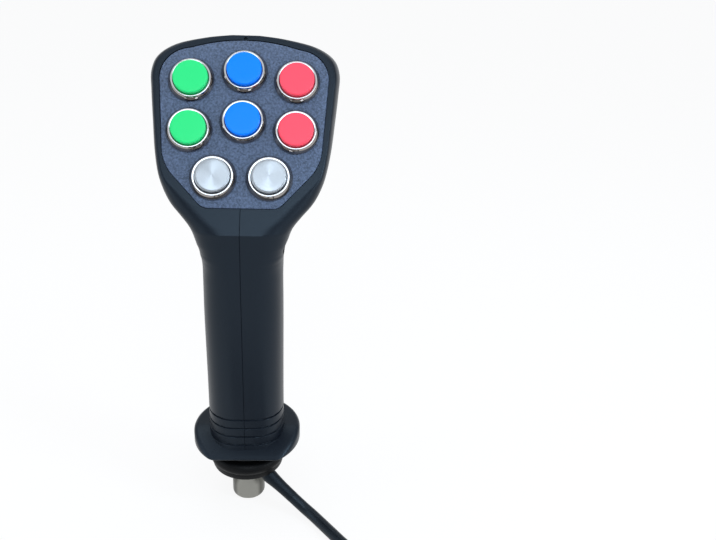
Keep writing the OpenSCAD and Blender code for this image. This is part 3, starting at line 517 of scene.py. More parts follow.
def add_camera(scene):
    """Camera that looks down on the panel, rolled a little."""
    az, el, roll = (math.radians(CAMERA_AT[k]) for k in ("azimuth", "elevation", "roll"))
    back = Vector((math.sin(az) * math.cos(el), -math.cos(az) * math.cos(el), math.sin(el)))
    right = (-back).cross(Vector((0, 0, 1))).normalized()
    up = right.cross(-back)
    across = right * math.cos(roll) + up * math.sin(roll)
    above = up * math.cos(roll) - right * math.sin(roll)
    camera = bpy.data.objects.new("camera", bpy.data.cameras.new("camera"))
    camera.data.lens = LENS
    camera.data.sensor_width = 36
    camera.data.clip_start = 0.01
    spot = Vector(CAMERA_AT["target"]) + back * CAMERA_AT["distance"]
    camera.matrix_world = Matrix.Translation(spot) @ Matrix((across, above, back)).transposed().to_4x4()
    scene.collection.objects.link(camera)
    scene.camera = camera


def add_lamp(name, place, target, size, power, colour):
    """Rectangular softbox that faces a point."""
    light = bpy.data.lights.new(name, "AREA")
    light.shape = "RECTANGLE"
    light.size, light.size_y = size
    light.energy = power
    light.color = colour
    lamp = placed(name, light)
    lamp.location = place
    lamp.rotation_euler = (Vector(target) - Vector(place)).to_track_quat("-Z", "Y").to_euler()


def add_surroundings(scene):
    """World like a studio: a pale horizon, dimmer walls above it and a bright ceiling."""
    scene.world = bpy.data.worlds.new("surroundings")
    scene.world.use_nodes = True
    nodes, link = scene.world.node_tree.nodes, scene.world.node_tree.links.new
    height = nodes.new("ShaderNodeSeparateXYZ")
    shades = nodes.new("ShaderNodeValToRGB")
    stops = shades.color_ramp.elements
    while len(stops) < len(CEILING):
        stops.new(1.0)
    for stop, (up, shade) in zip(stops, CEILING):
        stop.position = up
        stop.color = (shade * 0.94, shade * 0.97, shade, 1)
    link(nodes.new("ShaderNodeTexCoord").outputs["Generated"], height.inputs["Vector"])
    link(height.outputs["Z"], shades.inputs["Fac"])
    link(shades.outputs["Color"], nodes["Background"].inputs["Color"])
    nodes["Background"].inputs["Strength"].default_value = CEILING_STRENGTH


def floor_material():
    """White floor that keeps the object's shadow. It glows only where it is seen, straight or in a mirror."""
    mat = material("floor_white", FLOOR_WHITE, roughness=0.9)
    nodes, link = mat.node_tree.nodes, mat.node_tree.links.new
    rays = nodes.new("ShaderNodeLightPath")
    either = nodes.new("ShaderNodeMath")
    either.operation = "MAXIMUM"
    any_of = nodes.new("ShaderNodeMath")
    any_of.operation = "MAXIMUM"
    share = nodes.new("ShaderNodeMath")
    share.operation = "MULTIPLY"
    share.inputs[1].default_value = FLOOR_GLOW
    glow = nodes.new("ShaderNodeEmission")
    mixed = nodes.new("ShaderNodeMixShader")
    link(rays.outputs["Is Camera Ray"], either.inputs[0])
    link(rays.outputs["Is Glossy Ray"], either.inputs[1])
    link(either.outputs[0], any_of.inputs[0])
    link(rays.outputs["Is Transmission Ray"], any_of.inputs[1])
    link(any_of.outputs[0], share.inputs[0])
    link(share.outputs[0], mixed.inputs["Fac"])
    link(nodes["Principled BSDF"].outputs[0], mixed.inputs[1])
    link(glow.outputs[0], mixed.inputs[2])
    link(mixed.outputs[0], nodes["Material Output"].inputs["Surface"])
    return mat


class JOYSTICK_OT_stage(bpy.types.Operator):
    """Adds the floor, the lamps, the surroundings and the camera"""

    bl_idname = "joystick.stage"
    bl_label = "Stage"

    def execute(self, context):
        context.scene.view_settings.view_transform = "Standard"
        add_camera(context.scene)
        add_surroundings(context.scene)
        for lamp in LAMPS:
            add_lamp(*lamp)
        r = FLOOR_REACH
        floor = object_from("floor", [(-r, -r, 0), (r, -r, 0), (r, r, 0), (-r, r, 0)], [(0, 1, 2, 3)])
        if floor.data.polygons[0].normal.z < 0:
            floor.data.flip_normals()
        floor.data.materials.append(floor_material())
        return {"FINISHED"}


# ---------------------------------------------------------------- cable
EXIT = Vector((0.72, -0.43, -0.47)).normalized()            # way that the cable leaves the boot
ELBOW = Vector((GLAND_AT[0], GLAND_AT[1], BOOT_Z - 2.6))
SLEEVE_L = 20.0         # from the elbow to the end of the strain relief
COIL_AT = (30.0, -102.0)
COIL_R = 33.0
COIL_LIFT = 0.8         # room under the coil, which rests on its tie
COIL_STEP = 15          # degrees from one point to the next
TURN_GAP = 0.02         # room between the turns
TAIL_OUT = 3.0          # the cable's end, out from the coil's middle radius
PLUG_HALF = 8.5         # half the connector's height
ROUTE = [(31.1, -20.9, 5.0), (34.9, -24.3, 3.8), (39.1, -29.1, 3.1), (44.3, -36.0, 3.0), (48.8, -42.1, 3.0),
         (53.7, -48.7, 3.0), (58.0, -56.5, 3.0), (61.6, -66.0, 3.0), (64.2, -77.0, 3.0), (65.7, -88.0, 3.4)]


def first_points():
    """Straight stretch of the cable out of its sleeve."""
    start = ELBOW + EXIT * SLEEVE_L
    return [tuple(start), tuple(start + EXIT * 2), tuple(start + EXIT * 4)]


def coil_points():
    """The coil's turns: outer and inner below, inner and outer above, and a quarter turn more."""
    r = sizes().cable / MM / 2
    low, high = COIL_LIFT + r, COIL_LIFT + 3 * r + TURN_GAP
    near, far = COIL_R - r - TURN_GAP, COIL_R + r + TURN_GAP
    lanes = [(0, far, low), (-335, far, low), (-375, near, low), (-695, near, low), (-735, near, high),
             (-1055, near, high), (-1095, far, high), (-1170, far, high)]       # degrees, radius, height
    points = []
    for q in range(0, lanes[-1][0] - 1, -COIL_STEP):
        lane = next(k for k in range(len(lanes) - 1) if lanes[k + 1][0] <= q)
        (a, radius_a, z_a), (b, radius_b, z_b) = lanes[lane], lanes[lane + 1]
        t = (a - q) / (a - b)
        t = t * t * (3 - 2 * t)
        radius = radius_a + (radius_b - radius_a) * t
        angle = math.radians(q)
        points.append((COIL_AT[0] + radius * math.cos(angle), COIL_AT[1] + radius * math.sin(angle),
                       z_a + (z_b - z_a) * t))
    return points


def tail_points():
    """The cable's end, which comes down from the coil to the connector's middle."""
    y = COIL_AT[1] - COIL_R - TAIL_OUT
    steps = ((8, 1.1), (15, 0.6), (21, 0.2), (26, 0.0), (32, 0.0))      # way towards -X, height left to go
    return [(COIL_AT[0] - way, y, PLUG_HALF + rise) for way, rise in steps]


def cord_curve(name, points, diameter, mat):
    """Round cord along a smooth line."""
    curve = bpy.data.curves.new(name, "CURVE")
    curve.dimensions = "3D"
    curve.bevel_depth = diameter / 2
    curve.bevel_resolution = 6
    curve.resolution_u = 6
    curve.use_fill_caps = True
    line = curve.splines.new("BEZIER")
    line.bezier_points.add(len(points) - 1)
    for knot, p in zip(line.bezier_points, points):
        knot.co = Vector(p) * MM
        knot.handle_left_type = "AUTO"
        knot.handle_right_type = "AUTO"
    curve.materials.append(mat)
    return placed(name, curve)


def add_plug():
    """Adds the coil's tie and the connector, and returns their pieces."""
    finishes = {
        "coil_tie": (material("tie_black", NYLON, roughness=0.5), "tie"),
        "connector_body": (material("connector_black", CONNECTOR, roughness=0.42, grain=(1500, 0.00004)),
                           "connector"),
        "connector_lock": (material("lock_orange", LOCK, roughness=0.4), "lock_orange"),
        "connector_seal": (material("seal_orange", SILICONE, roughness=0.6), "seal_orange"),
        "connector_boot": (material("connector_rubber", RUBBER, roughness=0.6), "rubber"),
    }
    pieces = []
    for node, (mat, slot) in finishes.items():
        piece = merged_copy(node)
        edge = piece.modifiers.new("Edges", "BEVEL")
        edge.width = 0.2 * MM
        edge.segments = 2
        edge.limit_method = "ANGLE"
        edge.angle_limit = math.radians(40)
        settle(piece)
        pieces.append(finish_piece(piece, "grip", mat, slot, node))
    return pieces


def gland_path():
    """Points and radii of the strain relief: upright neck, bend, and a sleeve that tapers."""
    neck_r, tip_r = 3.85, 3.05
    bend, taper = 4.0, 2.4
    above, below = ELBOW + Vector((0, 0, bend)), ELBOW + EXIT * bend
    path = [(Vector((*GLAND_AT, BOOT_Z + 4)), neck_r), (above, neck_r)]
    for t in (k / 9 for k in range(1, 9)):
        path.append((above * (1 - t) ** 2 + ELBOW * 2 * t * (1 - t) + below * t * t, neck_r))
    for t in (k / 40 for k in range(41)):
        along = bend + (SLEEVE_L - bend) * t
        path.append((ELBOW + EXIT * along, tip_r + (neck_r - tip_r) * (1 - t) ** taper))
    return path


def add_gland():
    """Adds the strain relief, swept along its path."""
    path, segments = gland_path(), 40
    side = EXIT.cross(Vector((0, 0, 1))).normalized()
    sections = []
    for i, (p, r) in enumerate(path):
        before, after = path[max(i - 1, 0)][0], path[min(i + 1, len(path) - 1)][0]
        other = (after - before).normalized().cross(side).normalized()
        turns = (2 * math.pi * j / segments for j in range(segments))
        sections.append([tuple(p + side * (r * math.cos(q)) + other * (r * math.sin(q))) for q in turns])
    rubber = material("gland_rubber", JACKET, roughness=0.4, specular=0.25, sheen_tint=COOL_SHEEN)
    finish_piece(loft("gland", sections), "grip", rubber, "rubber", "cable_gland", angle=40)


class JOYSTICK_OT_cable(bpy.types.Operator):
    """Adds the cable with its coil, tie and connector, and the gland that it leaves by"""

    bl_idname = "joystick.cable"
    bl_label = "Cable"

    def execute(self, context):
        jacket = material("cable_jacket", JACKET, roughness=0.36, rough_grain=(300, 0.03), specular=0.32,
                          sheen_tint=COOL_SHEEN)
        points = first_points() + ROUTE + coil_points() + tail_points()
        cable = cord_curve("cable", points, sizes().cable, jacket)
        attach(cable, "grip")
        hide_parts("cable_run", "cable_coil")
        paint("wiring_loom", jacket)
        add_plug()
        add_gland()
        return {"FINISHED"}


# ---------------------------------------------------------------- housing
WALL = 3.0
PANEL_WALL = PLATE_T + 3.2      # wall behind the panel, plate and all
ROUND_POWER = 0.87      # fullness of the sections' corners
SIDE_STEPS = 26
BACK_STEPS = 40
RINGS = 8               # rings from one station to the next
CREASE_STATION = 12     # the first one that starts on the panel, at its foot
PANEL_STATION = 13      # from here on a station and its neighbours lie on the panel
THICK_FROM = CREASE_STATION - 2 / 3     # from here up the cavity leaves room for the plate
SEAM = 0.2              # chamfer at the joint of the halves
SEAM_SPREAD = 30.0      # width of the chamfer over its share of the depth
GROOVES = [APRON + 5.2 + k * 5.05 for k in range(4)]
GROOVE_DEPTH = 0.6
GROOVE_HALF = 0.55
GROOVE_REACH = 0.62     # share of the depth that the grooves run back to
GROOVE_RING = 0.17      # from one ring to the next at the grooves

REST_CORNER = 5.0       # hand rest: rounding of its front corners
REST_UNDER = 0.8        # of its lower edge
REST_OVER = 2.2         # and of its upper edge

POCKET_R = 4.2
POCKET_WALL = 1.5
BOSS_R = 4.2
BOLT_HOLE_R = 2.1
LOOM_HOLE_R = 2.4
TONGUE = 1.2            # how far the plate's tongue reaches into the housing
LEDGE = 0.7             # width of the ledge that the plate lies on
WINDOW_DEEP = 6.2       # depth of the opening behind the plate
PIN_BOSS_R = 3.4
PIN_BOSS_L = 7.7
PIN_BOSS_X = 5.1
SWING_ROOM = 1.2        # room under the trigger's lower end
SPRING_SEAT = ((0, 6.2, 99.3), (15.5, 8.6, 105.7))
SCREW_Y = 5.0           # screws of the microswitch
SCREW_Z = (111.0, 120.6)
SCREW_BOSS_R = 2.4
SCREW_HOLE_R = 1.1
BUSH_HOLE_R = 9.5       # holes in the plate


def stations():
    """Sections of the housing: front y z, back y z, half width, flat half width, widest at."""
    side = sizes().grip_width / MM / 2
    broad = sizes().head_width / MM / 2
    neck = NECK_HALF
    neck_z = crease_z() - NECK_DROP
    edge = PLATE_W / 2 + RIM
    fy, by, top = GRIP_FRONT, GRIP_BACK, PLATE_TOP

    def head(v, back_v, back_d, w, flat, at=0.36):
        """Section from v up the panel to a place behind it."""
        return (*on_panel(v), *on_panel(back_v, back_d), w, flat, at)

    return [
        (fy, FLANGE_Z + 0.8, by, FLANGE_Z + 2, side - 0.6, 3, 0.46),
        (fy - 1.6, APRON + 0.2, by + 2.4, FLANGE_TOP + 0.2, side + 1.6, 3.4, 0.46),
        (fy - 0.5, APRON + 1.8, by + 0.7, FLANGE_TOP + 1.8, side + 0.2, 3.2, 0.46),
        (fy, APRON + 5, by, FLANGE_TOP + 6, side - 0.2, 3, 0.46),
        (fy + 0.2, FLANGE_TOP + 27, by, FLANGE_TOP + 27, side - 0.3, 3, 0.46),
        (fy + 0.6, neck_z - 32.5, by, neck_z - 32.5, side - 0.1, 3, 0.46),
        (fy + 1.1, neck_z - 13, by + 0.3, neck_z - 13, side - 0.2, 3.4, 0.48),
        (fy + 1.4, neck_z - 6.5, by + 0.9, neck_z - 6.5, side - 0.1, 3.8, 0.5),
        (fy + 1.7, neck_z - 2.5, by - 0.7, neck_z - 2.5, side + 0.1, 4.2, 0.48),
        (fy + 1.9, neck_z, by - 2.2, neck_z, neck, 4.6, 0.44),
        (fy + 2, neck_z + 2.2, by - 0.4, neck_z + 2.2, neck + 0.4, 5, 0.42),
        (fy + 2.2, neck_z + 6, by - 1.8, neck_z + 5, neck + 1.5, 5.4, 0.42),
        head(0, 17, HEAD_T - 8.9, neck + 4, 6, 0.42),
        head(6, 22.3, HEAD_T - 11, neck + 8.3, 12.5, 0.42),
        head(PLATE_V, 29.4, HEAD_T - 11.5, neck + 13.9, 19.5, 0.4),
        head(20.5, 37.9, HEAD_T - 10.3, broad - 8, 28.5, 0.38),
        head(28, 46.5, HEAD_T - 8, broad - 5.8, edge - 6.6),
        head(40, 57.4, HEAD_T - 4.3, broad - 3.7, edge - 3.6),
        head(top - 41.4, top - 27.2, HEAD_T, broad - 2.1, edge - 1.8),
        head(top - 26.4, top - 13.1, HEAD_T - 0.9, broad - 0.6, edge - 0.5),
        head(top - 16.4, top - 2.3, HEAD_T - 3.9, broad - 0.1, edge - 0.2),
        head(top - 8.4, top + 3.5, HEAD_T - 8.8, broad - 3.2, edge - 3.6),
        head(top - 2.4, top + 6, HEAD_T - 15.6, broad - 11.8, edge - 13),
        head(top + 1.2, top + 5, HEAD_T - 23.1, broad - 25, edge - 27.1),
        head(top + 2.6, top + 3.8, HEAD_T - 30, broad - 36.5, edge - 37.1)]


def half_outline(w, flat, at, side_steps, back_steps, seam=0.0):
    """Half a section as (x, share of the depth), with a small chamfer at the seam."""
    points = [(0.0, seam), (seam * SEAM_SPREAD, 0.0)] if seam else [(0.0, 0.0)]
    for j in range(side_steps + 1):
        q = math.pi / 2 * j / side_steps
        x = flat + (w - flat) * math.sin(q) ** ROUND_POWER
        points.append((x, at * (1 - max(math.cos(q), 0) ** ROUND_POWER)))
    for j in range(1, back_steps + 1):
        q = math.pi / 2 * j / back_steps
        x = w * max(math.cos(q), 0) ** ROUND_POWER
        points.append((x, at + (1 - at) * math.sin(q) ** ROUND_POWER))
    if seam:
        points[-1] = (seam * SEAM_SPREAD, points[-1][1])
        points.append((0.0, 1 - seam))
    return points


def section_at(table, u):
    """Section u stations up, on smooth curves, but with a front line that is straight below the panel."""
    last = len(table) - 1
    i = min(int(u), last - 1)
    t = u - i
    before, a, b, after = table[max(i - 1, 0)], table[i], table[i + 1], table[min(i + 2, last)]
    section = [spline(*four, t) for four in zip(before, a, b, after)]
    if i < PANEL_STATION:
        section[:2] = [p + (q - p) * t for p, q in zip(a[:2], b[:2])]
    return section


def grooved(x, y, z, t):
    """The point at share t of the depth, sunk where a groove crosses the front and the sides."""
    near = min(abs(z - g) for g in GROOVES)
    sunk = GROOVE_DEPTH * within((GROOVE_HALF - near) / 0.2, 0, 1) * within((GROOVE_REACH - t) / 0.12, 0, 1)
    if sunk and x > 0.5:
        x -= sunk * min(t / 0.12, 1)
    return x, y + sunk * (1 - min(t / 0.42, 1) ** 2), z


def outer_section(table, u):
    """Outline of the housing's outside, u stations up."""
    fy, fz, by, bz, w, flat, at = section_at(table, u)
    outline = half_outline(w, flat, at, SIDE_STEPS, BACK_STEPS, SEAM / math.hypot(by - fy, bz - fz))
    return [grooved(x, fy + (by - fy) * t, fz + (bz - fz) * t, t) for x, t in outline]


def inner_section(table, u):
    """Outline of the cavity, u stations up. It runs past the middle plane, where the halves meet."""
    fy, fz, by, bz, w, flat, at = section_at(table, u)
    depth = math.hypot(by - fy, bz - fz)
    front = WALL if u < THICK_FROM else PANEL_WALL
    first, last = front / depth, 1 - WALL / depth
    points = []
    for x, share in half_outline(w - WALL, max(flat - WALL, 2), at, 12, 20):
        t = first + (last - first) * share
        points.append((x if x > 1e-6 else x - PAST, fy + (by - fy) * t, fz + (bz - fz) * t))
    return points


def ring_places(table):
    """Heights of the outside's rings in stations, close together where the grooves cross them."""
    places = {k / RINGS for k in range(RINGS * (len(table) - 1) + 1)}
    z = APRON + 1.9
    while z < GROOVES[-1] + 1:
        i = next(k for k in range(1, 5) if table[k][1] <= z < table[k + 1][1])
        places.add(round(i + (z - table[i][1]) / (table[i + 1][1] - table[i][1]), 5))
        z += GROOVE_RING
    return sorted(places)


def hollow_half(name):
    """Outer form of one half of the housing, on the +X side, with its cavity."""
    table = stations()
    solid = loft(name, [outer_section(table, u) for u in ring_places(table)])
    low, high = 3, len(table) - 3
    levels = [low + k / RINGS for k in range(RINGS * (high - low) + 1)]
    cavity = loft("cavity", [inner_section(table, u) for u in levels])
    return combine(solid, [cavity], "DIFFERENCE")


def rest_outline():
    """Half of the hand rest's D, from the middle of its straight front to the middle of its back."""
    radius = sizes().flange / MM / 2
    y = REST_CORNER - FLANGE_FRONT
    x = math.sqrt((radius - REST_CORNER) ** 2 - y ** 2)
    points = [(0.0, -FLANGE_FRONT)] + arc((x, y), REST_CORNER, -math.pi / 2, math.atan2(y, x), 12)
    start = math.atan2(points[-1][1], points[-1][0])
    points += arc((0, 0), radius, start, math.pi / 2, 60)[1:]
    points[-1] = (0.0, radius)
    return points


def drawn_in(points, g):
    """The half outline moved inwards by g, with its two ends kept on the middle plane."""
    last = len(points) - 1
    out = [(0.0, points[0][1] + g)]
    for i in range(1, last):
        tx = points[i + 1][0] - points[i - 1][0]
        ty = points[i + 1][1] - points[i - 1][1]
        size = math.hypot(tx, ty)
        out.append((max(points[i][0] - g * ty / size, 0.0), points[i][1] + g * tx / size))
    return out + [(0.0, points[last][1] - g)]


def rest_top(y):
    """Height of the hand rest's top, which falls towards the front."""
    share = within((-y - 1) / (FLANGE_FRONT - 1), 0, 1)
    return FLANGE_TOP - FLANGE_FALL * share ** 1.4


def rest_edge(y):
    """Rounding of the hand rest's upper edge, smaller where the rest is thin."""
    return min(REST_OVER, 0.75 * (rest_top(y) - FLANGE_Z - REST_UNDER))


def rest_half(name):
    """Half of the hand rest: a D-shaped disc with rounded edges and a top that falls towards the front."""
    outline = rest_outline()
    rings = []
    for q in (math.pi / 2 * k / 6 for k in range(7)):
        z = FLANGE_Z + REST_UNDER * (1 - math.cos(q))
        rings.append([(x, y, z) for x, y in drawn_in(outline, REST_UNDER * (1 - math.sin(q)))])
    for q in (math.pi / 2 * k / 8 for k in range(9)):
        loop = drawn_in(outline, REST_OVER * (1 - math.cos(q)))
        rings.append([(x, y, rest_top(y) - rest_edge(y) * (1 - math.sin(q))) for x, y in loop])
    for inset in (3, 7):
        rings.append([(x, y, rest_top(y)) for x, y in drawn_in(outline, REST_OVER + inset)])
    n = len(outline)
    verts = [p for ring in rings for p in ring] + [(0.0, 0.0, rest_top(0))]
    middle = len(verts) - 1
    numbers = [range(k * n, (k + 1) * n) for k in range(len(rings))]
    faces = [tuple(reversed(numbers[0]))]
    for a, b in zip(numbers, numbers[1:]):
        faces += [(a[j], a[j + 1], b[j + 1], b[j]) for j in range(n - 1)]
    faces += [(numbers[-1][j], numbers[-1][j + 1], middle) for j in range(n - 1)]
    faces.append((*(ring[0] for ring in numbers), middle, *(ring[-1] for ring in reversed(numbers))))
    return object_from(name, verts, faces)


def corner_arc(a, b, c, r, steps):
    """Arc that rounds corner b between a and c."""
    a, b, c = Vector(a), Vector(b), Vector(c)
    u, w = (a - b).normalized(), (c - b).normalized()
    half = math.acos(within(u.dot(w), -1, 1)) / 2
    mid = b + (u + w).normalized() * (r / math.sin(half))
    p, q = b + u * (r / math.tan(half)), b + w * (r / math.tan(half))
    first = math.atan2(p.y - mid.y, p.x - mid.x)
    turn = math.remainder(math.atan2(q.y - mid.y, q.x - mid.x) - first, 2 * math.pi)
    return arc(mid, r, first, first + turn, steps)


def plate_loop():
    """Outline of the face plate in (x, v)."""
    top_half, top_round = 26.0, 80.0
    drop = top_round - math.sqrt(top_round ** 2 - top_half ** 2)
    half = PLATE_W / 2
    middle, foot, shoulder = (0, PLATE_V), (17.6, PLATE_V), (half - 3.6, PLATE_V + 21)
    brow, top = (half + 0.8, PLATE_TOP - 2 - drop), (top_half, PLATE_TOP - drop)
    right = corner_arc(middle, foot, shoulder, 7, 16) + corner_arc(foot, shoulder, brow, 22, 16)
    right += corner_arc(shoulder, brow, top, 15, 24)
    for x in (top_half * k / 20 for k in range(19, -1, -1)):
        right.append((x, PLATE_TOP - top_round + math.sqrt(top_round ** 2 - x * x)))
    return right + [(-x, v) for x, v in right[-2::-1]]


def upright(z, x=0.0, y=0.0):
    """Frame at a height with its Z axis up."""
    return Matrix.Translation((x, y, z))


def bolt_places():
    """(y, z) of each through bolt, with the distance from the middle to its pocket's floor."""
    return (NECK_BOLT, NECK_REACH), (head_bolt(), HEAD_REACH)


def housing_adds():
    """What is joined to a half: hand rest, tower, spigot, bosses and the seat of the trigger's spring."""
    adds = [rest_half("rest"),
            rod("tower", TOWER_R, TOWER_TOP - FLANGE_TOP + PAST, upright(FLANGE_TOP - PAST)),
            rod("spigot", SPIGOT_R, SPIGOT_L + PAST, upright(FLANGE_Z - SPIGOT_L)),
            rod("pin_boss", PIN_BOSS_R, PIN_BOSS_L, along_x(*PIVOT, PIN_BOSS_X)),
            block("seat", *SPRING_SEAT)]
    for place, reach in bolt_places():
        adds.append(rod("boss", BOSS_R, reach, along_x(*place)))
        adds.append(rod("cup", POCKET_R + POCKET_WALL, 4, along_x(*place, reach - 2)))
    return adds


def housing_cuts():
    """What is cut from a half: all past the middle plane, the plate's bed, and the holes."""
    loop, panel = plate_loop(), panel_matrix()
    below = FLANGE_Z - SPIGOT_L - PAST
    cuts = [block("beyond", (-60, -60, -10), (0, 90, 260)),
            prism("bed", grown(loop, ROOM), -PLATE_T, PAST, panel),
            prism("tongue_groove", grown(loop, TONGUE + 0.1), -PLATE_T, -PLATE_T / 2 + 0.1, panel),
            prism("window", grown(loop, -LEDGE), -PLATE_T - WINDOW_DEEP, -PLATE_T + 0.5, panel),
            block("notch", (-0.75, -0.75, -1), (0.75, 0.75, 1),
                  panel_matrix(0, PLATE_TOP + RIM / 2) @ Matrix.Rotation(math.pi / 4, 4, "Z")),
            rod("pin_hole", PIN_HOLE_R, 12, along_x(*PIVOT)),
            rod("shank_hole", SHANK_HOLE_R, SPIGOT_L + PAST, upright(below)),
            rod("stud_hole", STUD_HOLE_R, TOWER_TOP + PAST, upright(0)),
            rod("cross_hole", CROSS_PIN_R, TOWER_R + 2, along_x(0, CROSS_PIN_Z)),
            rod("loom_hole", LOOM_HOLE_R, 24, upright(below, *LOOM_AT)),
            rounded_box("bar_window",
                        (-TRIGGER_W / 2 - ROOM, TRIGGER_FACE - 3, TRIGGER_TOP - TRIGGER_L - SWING_ROOM),
                        (TRIGGER_W / 2 + ROOM, 60, TRIGGER_TOP + ROOM), 0.8)]
    for place, reach in bolt_places():
        cuts.append(rod("bolt_hole", BOLT_HOLE_R, reach + PAST, along_x(*place)))
        cuts.append(rod("pocket", POCKET_R, 45, along_x(*place, reach)))
    return cuts


def mirrored(obj, name):
    """Copy of the piece on the other side of the middle plane."""
    mesh = obj.data.copy()
    mesh.transform(Matrix.Scale(-1, 4, (1, 0, 0)))
    mesh.flip_normals()
    return placed(name, mesh)


class JOYSTICK_OT_housing(bpy.types.Operator):
    """Adds the two moulded halves of the housing with the hand rest"""

    bl_idname = "joystick.housing"
    bl_label = "Housing"

    def execute(self, context):
        right = hollow_half("right_half")
        combine(right, housing_adds(), "UNION")
        combine(right, housing_cuts(), "DIFFERENCE")
        left = mirrored(right, "left_half")
        bosses = [rod("screw_boss", SCREW_BOSS_R, 12.3, along_x(SCREW_Y, z, -15.5)) for z in SCREW_Z]
        combine(left, bosses, "UNION")
        holes = [rod("screw_hole", SCREW_HOLE_R, 7, along_x(SCREW_Y, z, -10.2)) for z in SCREW_Z]
        combine(left, holes, "DIFFERENCE")
        black = material("moulded_black", SHELL, roughness=0.36, grain=(2600, 0.000012),
                         rough_grain=(700, 0.04), specular=0.32, sheen_tint=COOL_SHEEN)
        finish_piece(right, "grip", black, "shell", "right_shell")
        finish_piece(left, "grip", black, "shell", "left_shell")
        return {"FINISHED"}


class JOYSTICK_OT_plate(bpy.types.Operator):
    """Adds the textured face plate that carries the buttons"""

    bl_idname = "joystick.plate"
    bl_label = "Face plate"

    def execute(self, context):
        plate = prism("plate", plate_loop(), -PLATE_T, 0, panel_matrix(), edge=0.45)
        tongue = prism("tongue", grown(plate_loop(), TONGUE), -PLATE_T, -PLATE_T / 2, panel_matrix())
        combine(plate, [tongue], "UNION")
        holes = [rod("hole", BUSH_HOLE_R, PLATE_T + 2 * PAST, panel_matrix(*at, -PLATE_T - PAST))
                 for at in BUTTONS.values()]
        combine(plate, holes, "DIFFERENCE")
        grained = material("grained_black", PLATE, roughness=0.45, grain=(1400, 0.0003), mottle=(1000, 0.4),
                           sheen_tint=COOL_SHEEN)
        finish_piece(plate, "grip", grained, "plate", "face_plate")
        return {"FINISHED"}


# ---------------------------------------------------------------- buttons
SEAL_T = 0.4
BEZEL_H = 2.75
LIP = 1.3               # from the bezel's outside in to its lip
BUSH_L = 12.5
BUSH_R = 9.4
THREAD_ROOT = BUSH_R - 0.3
THREAD_CREST = BUSH_R - 0.02
CAP_H = 4.7
CAP_L = 4.0             # length of the cap's skirt
STEM_R = 3.0
COLLAR_R = 4.2
COLLAR_V = (-8.8, -10.0)
CAP_SEGMENTS = 112


def bush_profile():
    """Bezel with a sloping side and a flat lip, on its threaded tube."""
    r = sizes().bezel / MM / 2
    bore = sizes().cap / MM / 2 + ROOM
    lip = r - LIP
    profile = [(bore, -BUSH_L), (THREAD_ROOT, -BUSH_L)]
    z = -BUSH_L
    while z < -PLATE_T - 0.6:
        profile += [(THREAD_CREST, z + 0.25), (THREAD_ROOT + 0.02, z + 0.75)]
        z += 1.0
    profile += [(THREAD_ROOT, -PLATE_T), (THREAD_CREST, -PLATE_T + 0.3), (THREAD_CREST, SEAL_T),
                (r - 0.2, SEAL_T), (r - 0.06, SEAL_T + 0.05), (r, SEAL_T + 0.15), (r - 0.03, SEAL_T + 0.25),
                (lip - 0.1, BEZEL_H - 0.2), (lip - 0.2, BEZEL_H - 0.06), (lip - 0.34, BEZEL_H - 0.01),
                (lip - 0.46, BEZEL_H), (bore + 0.14, BEZEL_H), (bore + 0.04, BEZEL_H - 0.04),
                (bore, BEZEL_H - 0.2)]
    return profile


def seal_profile():
    """Flat ring under the bezel."""
    inner, outer = BUSH_R + 0.05, sizes().bezel / MM / 2 - 0.7
    return [(inner, 0.0), (outer, 0.0), (outer, SEAL_T), (inner, SEAL_T)]


def cap_profile():
    """Flat cap with a softly broken edge, its skirt, stem and collar."""
    r, top, skirt = sizes().cap / MM / 2, CAP_H, CAP_H - CAP_L
    face = [(x, top) for x in (0, 1.5, 3, 5, r - 1.1)]
    edge = [(r - 0.62, top - 0.03), (r - 0.33, top - 0.13), (r - 0.12, top - 0.32), (r - 0.02, top - 0.6),
            (r, top - 0.9)]
    stem = [(r, skirt), (STEM_R, skirt), (STEM_R, COLLAR_V[0]), (COLLAR_R, COLLAR_V[0]),
            (COLLAR_R, COLLAR_V[1]), (0, COLLAR_V[1])]
    return face + edge + stem


def repeat_tree():
    """Node tree that puts one master on every point, turned by a lean, and joins the result."""
    tree = bpy.data.node_groups.new("on_each_place", "GeometryNodeTree")
    for name, kind in (("Places", "Geometry"), ("Master", "Object"), ("Lean", "Float"), ("Size", "Float"),
                       ("Material", "Material")):
        tree.interface.new_socket(name, in_out="INPUT", socket_type="NodeSocket" + kind)
    tree.interface.new_socket("Pieces", in_out="OUTPUT", socket_type="NodeSocketGeometry")
    nodes, link = tree.nodes, tree.links.new
    given = nodes.new("NodeGroupInput").outputs
    points = nodes.new("GeometryNodeMeshToPoints")
    master = nodes.new("GeometryNodeObjectInfo")
    turn = nodes.new("ShaderNodeCombineXYZ")
    place = nodes.new("GeometryNodeInstanceOnPoints")
    real = nodes.new("GeometryNodeRealizeInstances")
    painted = nodes.new("GeometryNodeSetMaterial")
    link(given["Places"], points.inputs["Mesh"])
    link(given["Master"], master.inputs["Object"])
    link(given["Lean"], turn.inputs["X"])
    link(points.outputs["Points"], place.inputs["Points"])
    link(master.outputs["Geometry"], place.inputs["Instance"])
    link(turn.outputs["Vector"], place.inputs["Rotation"])
    link(given["Size"], place.inputs["Scale"])
    link(place.outputs["Instances"], real.inputs["Geometry"])
    link(real.outputs["Geometry"], painted.inputs["Geometry"])
    link(given["Material"], painted.inputs["Material"])
    link(painted.outputs["Geometry"], nodes.new("NodeGroupOutput").inputs["Pieces"])
    return tree


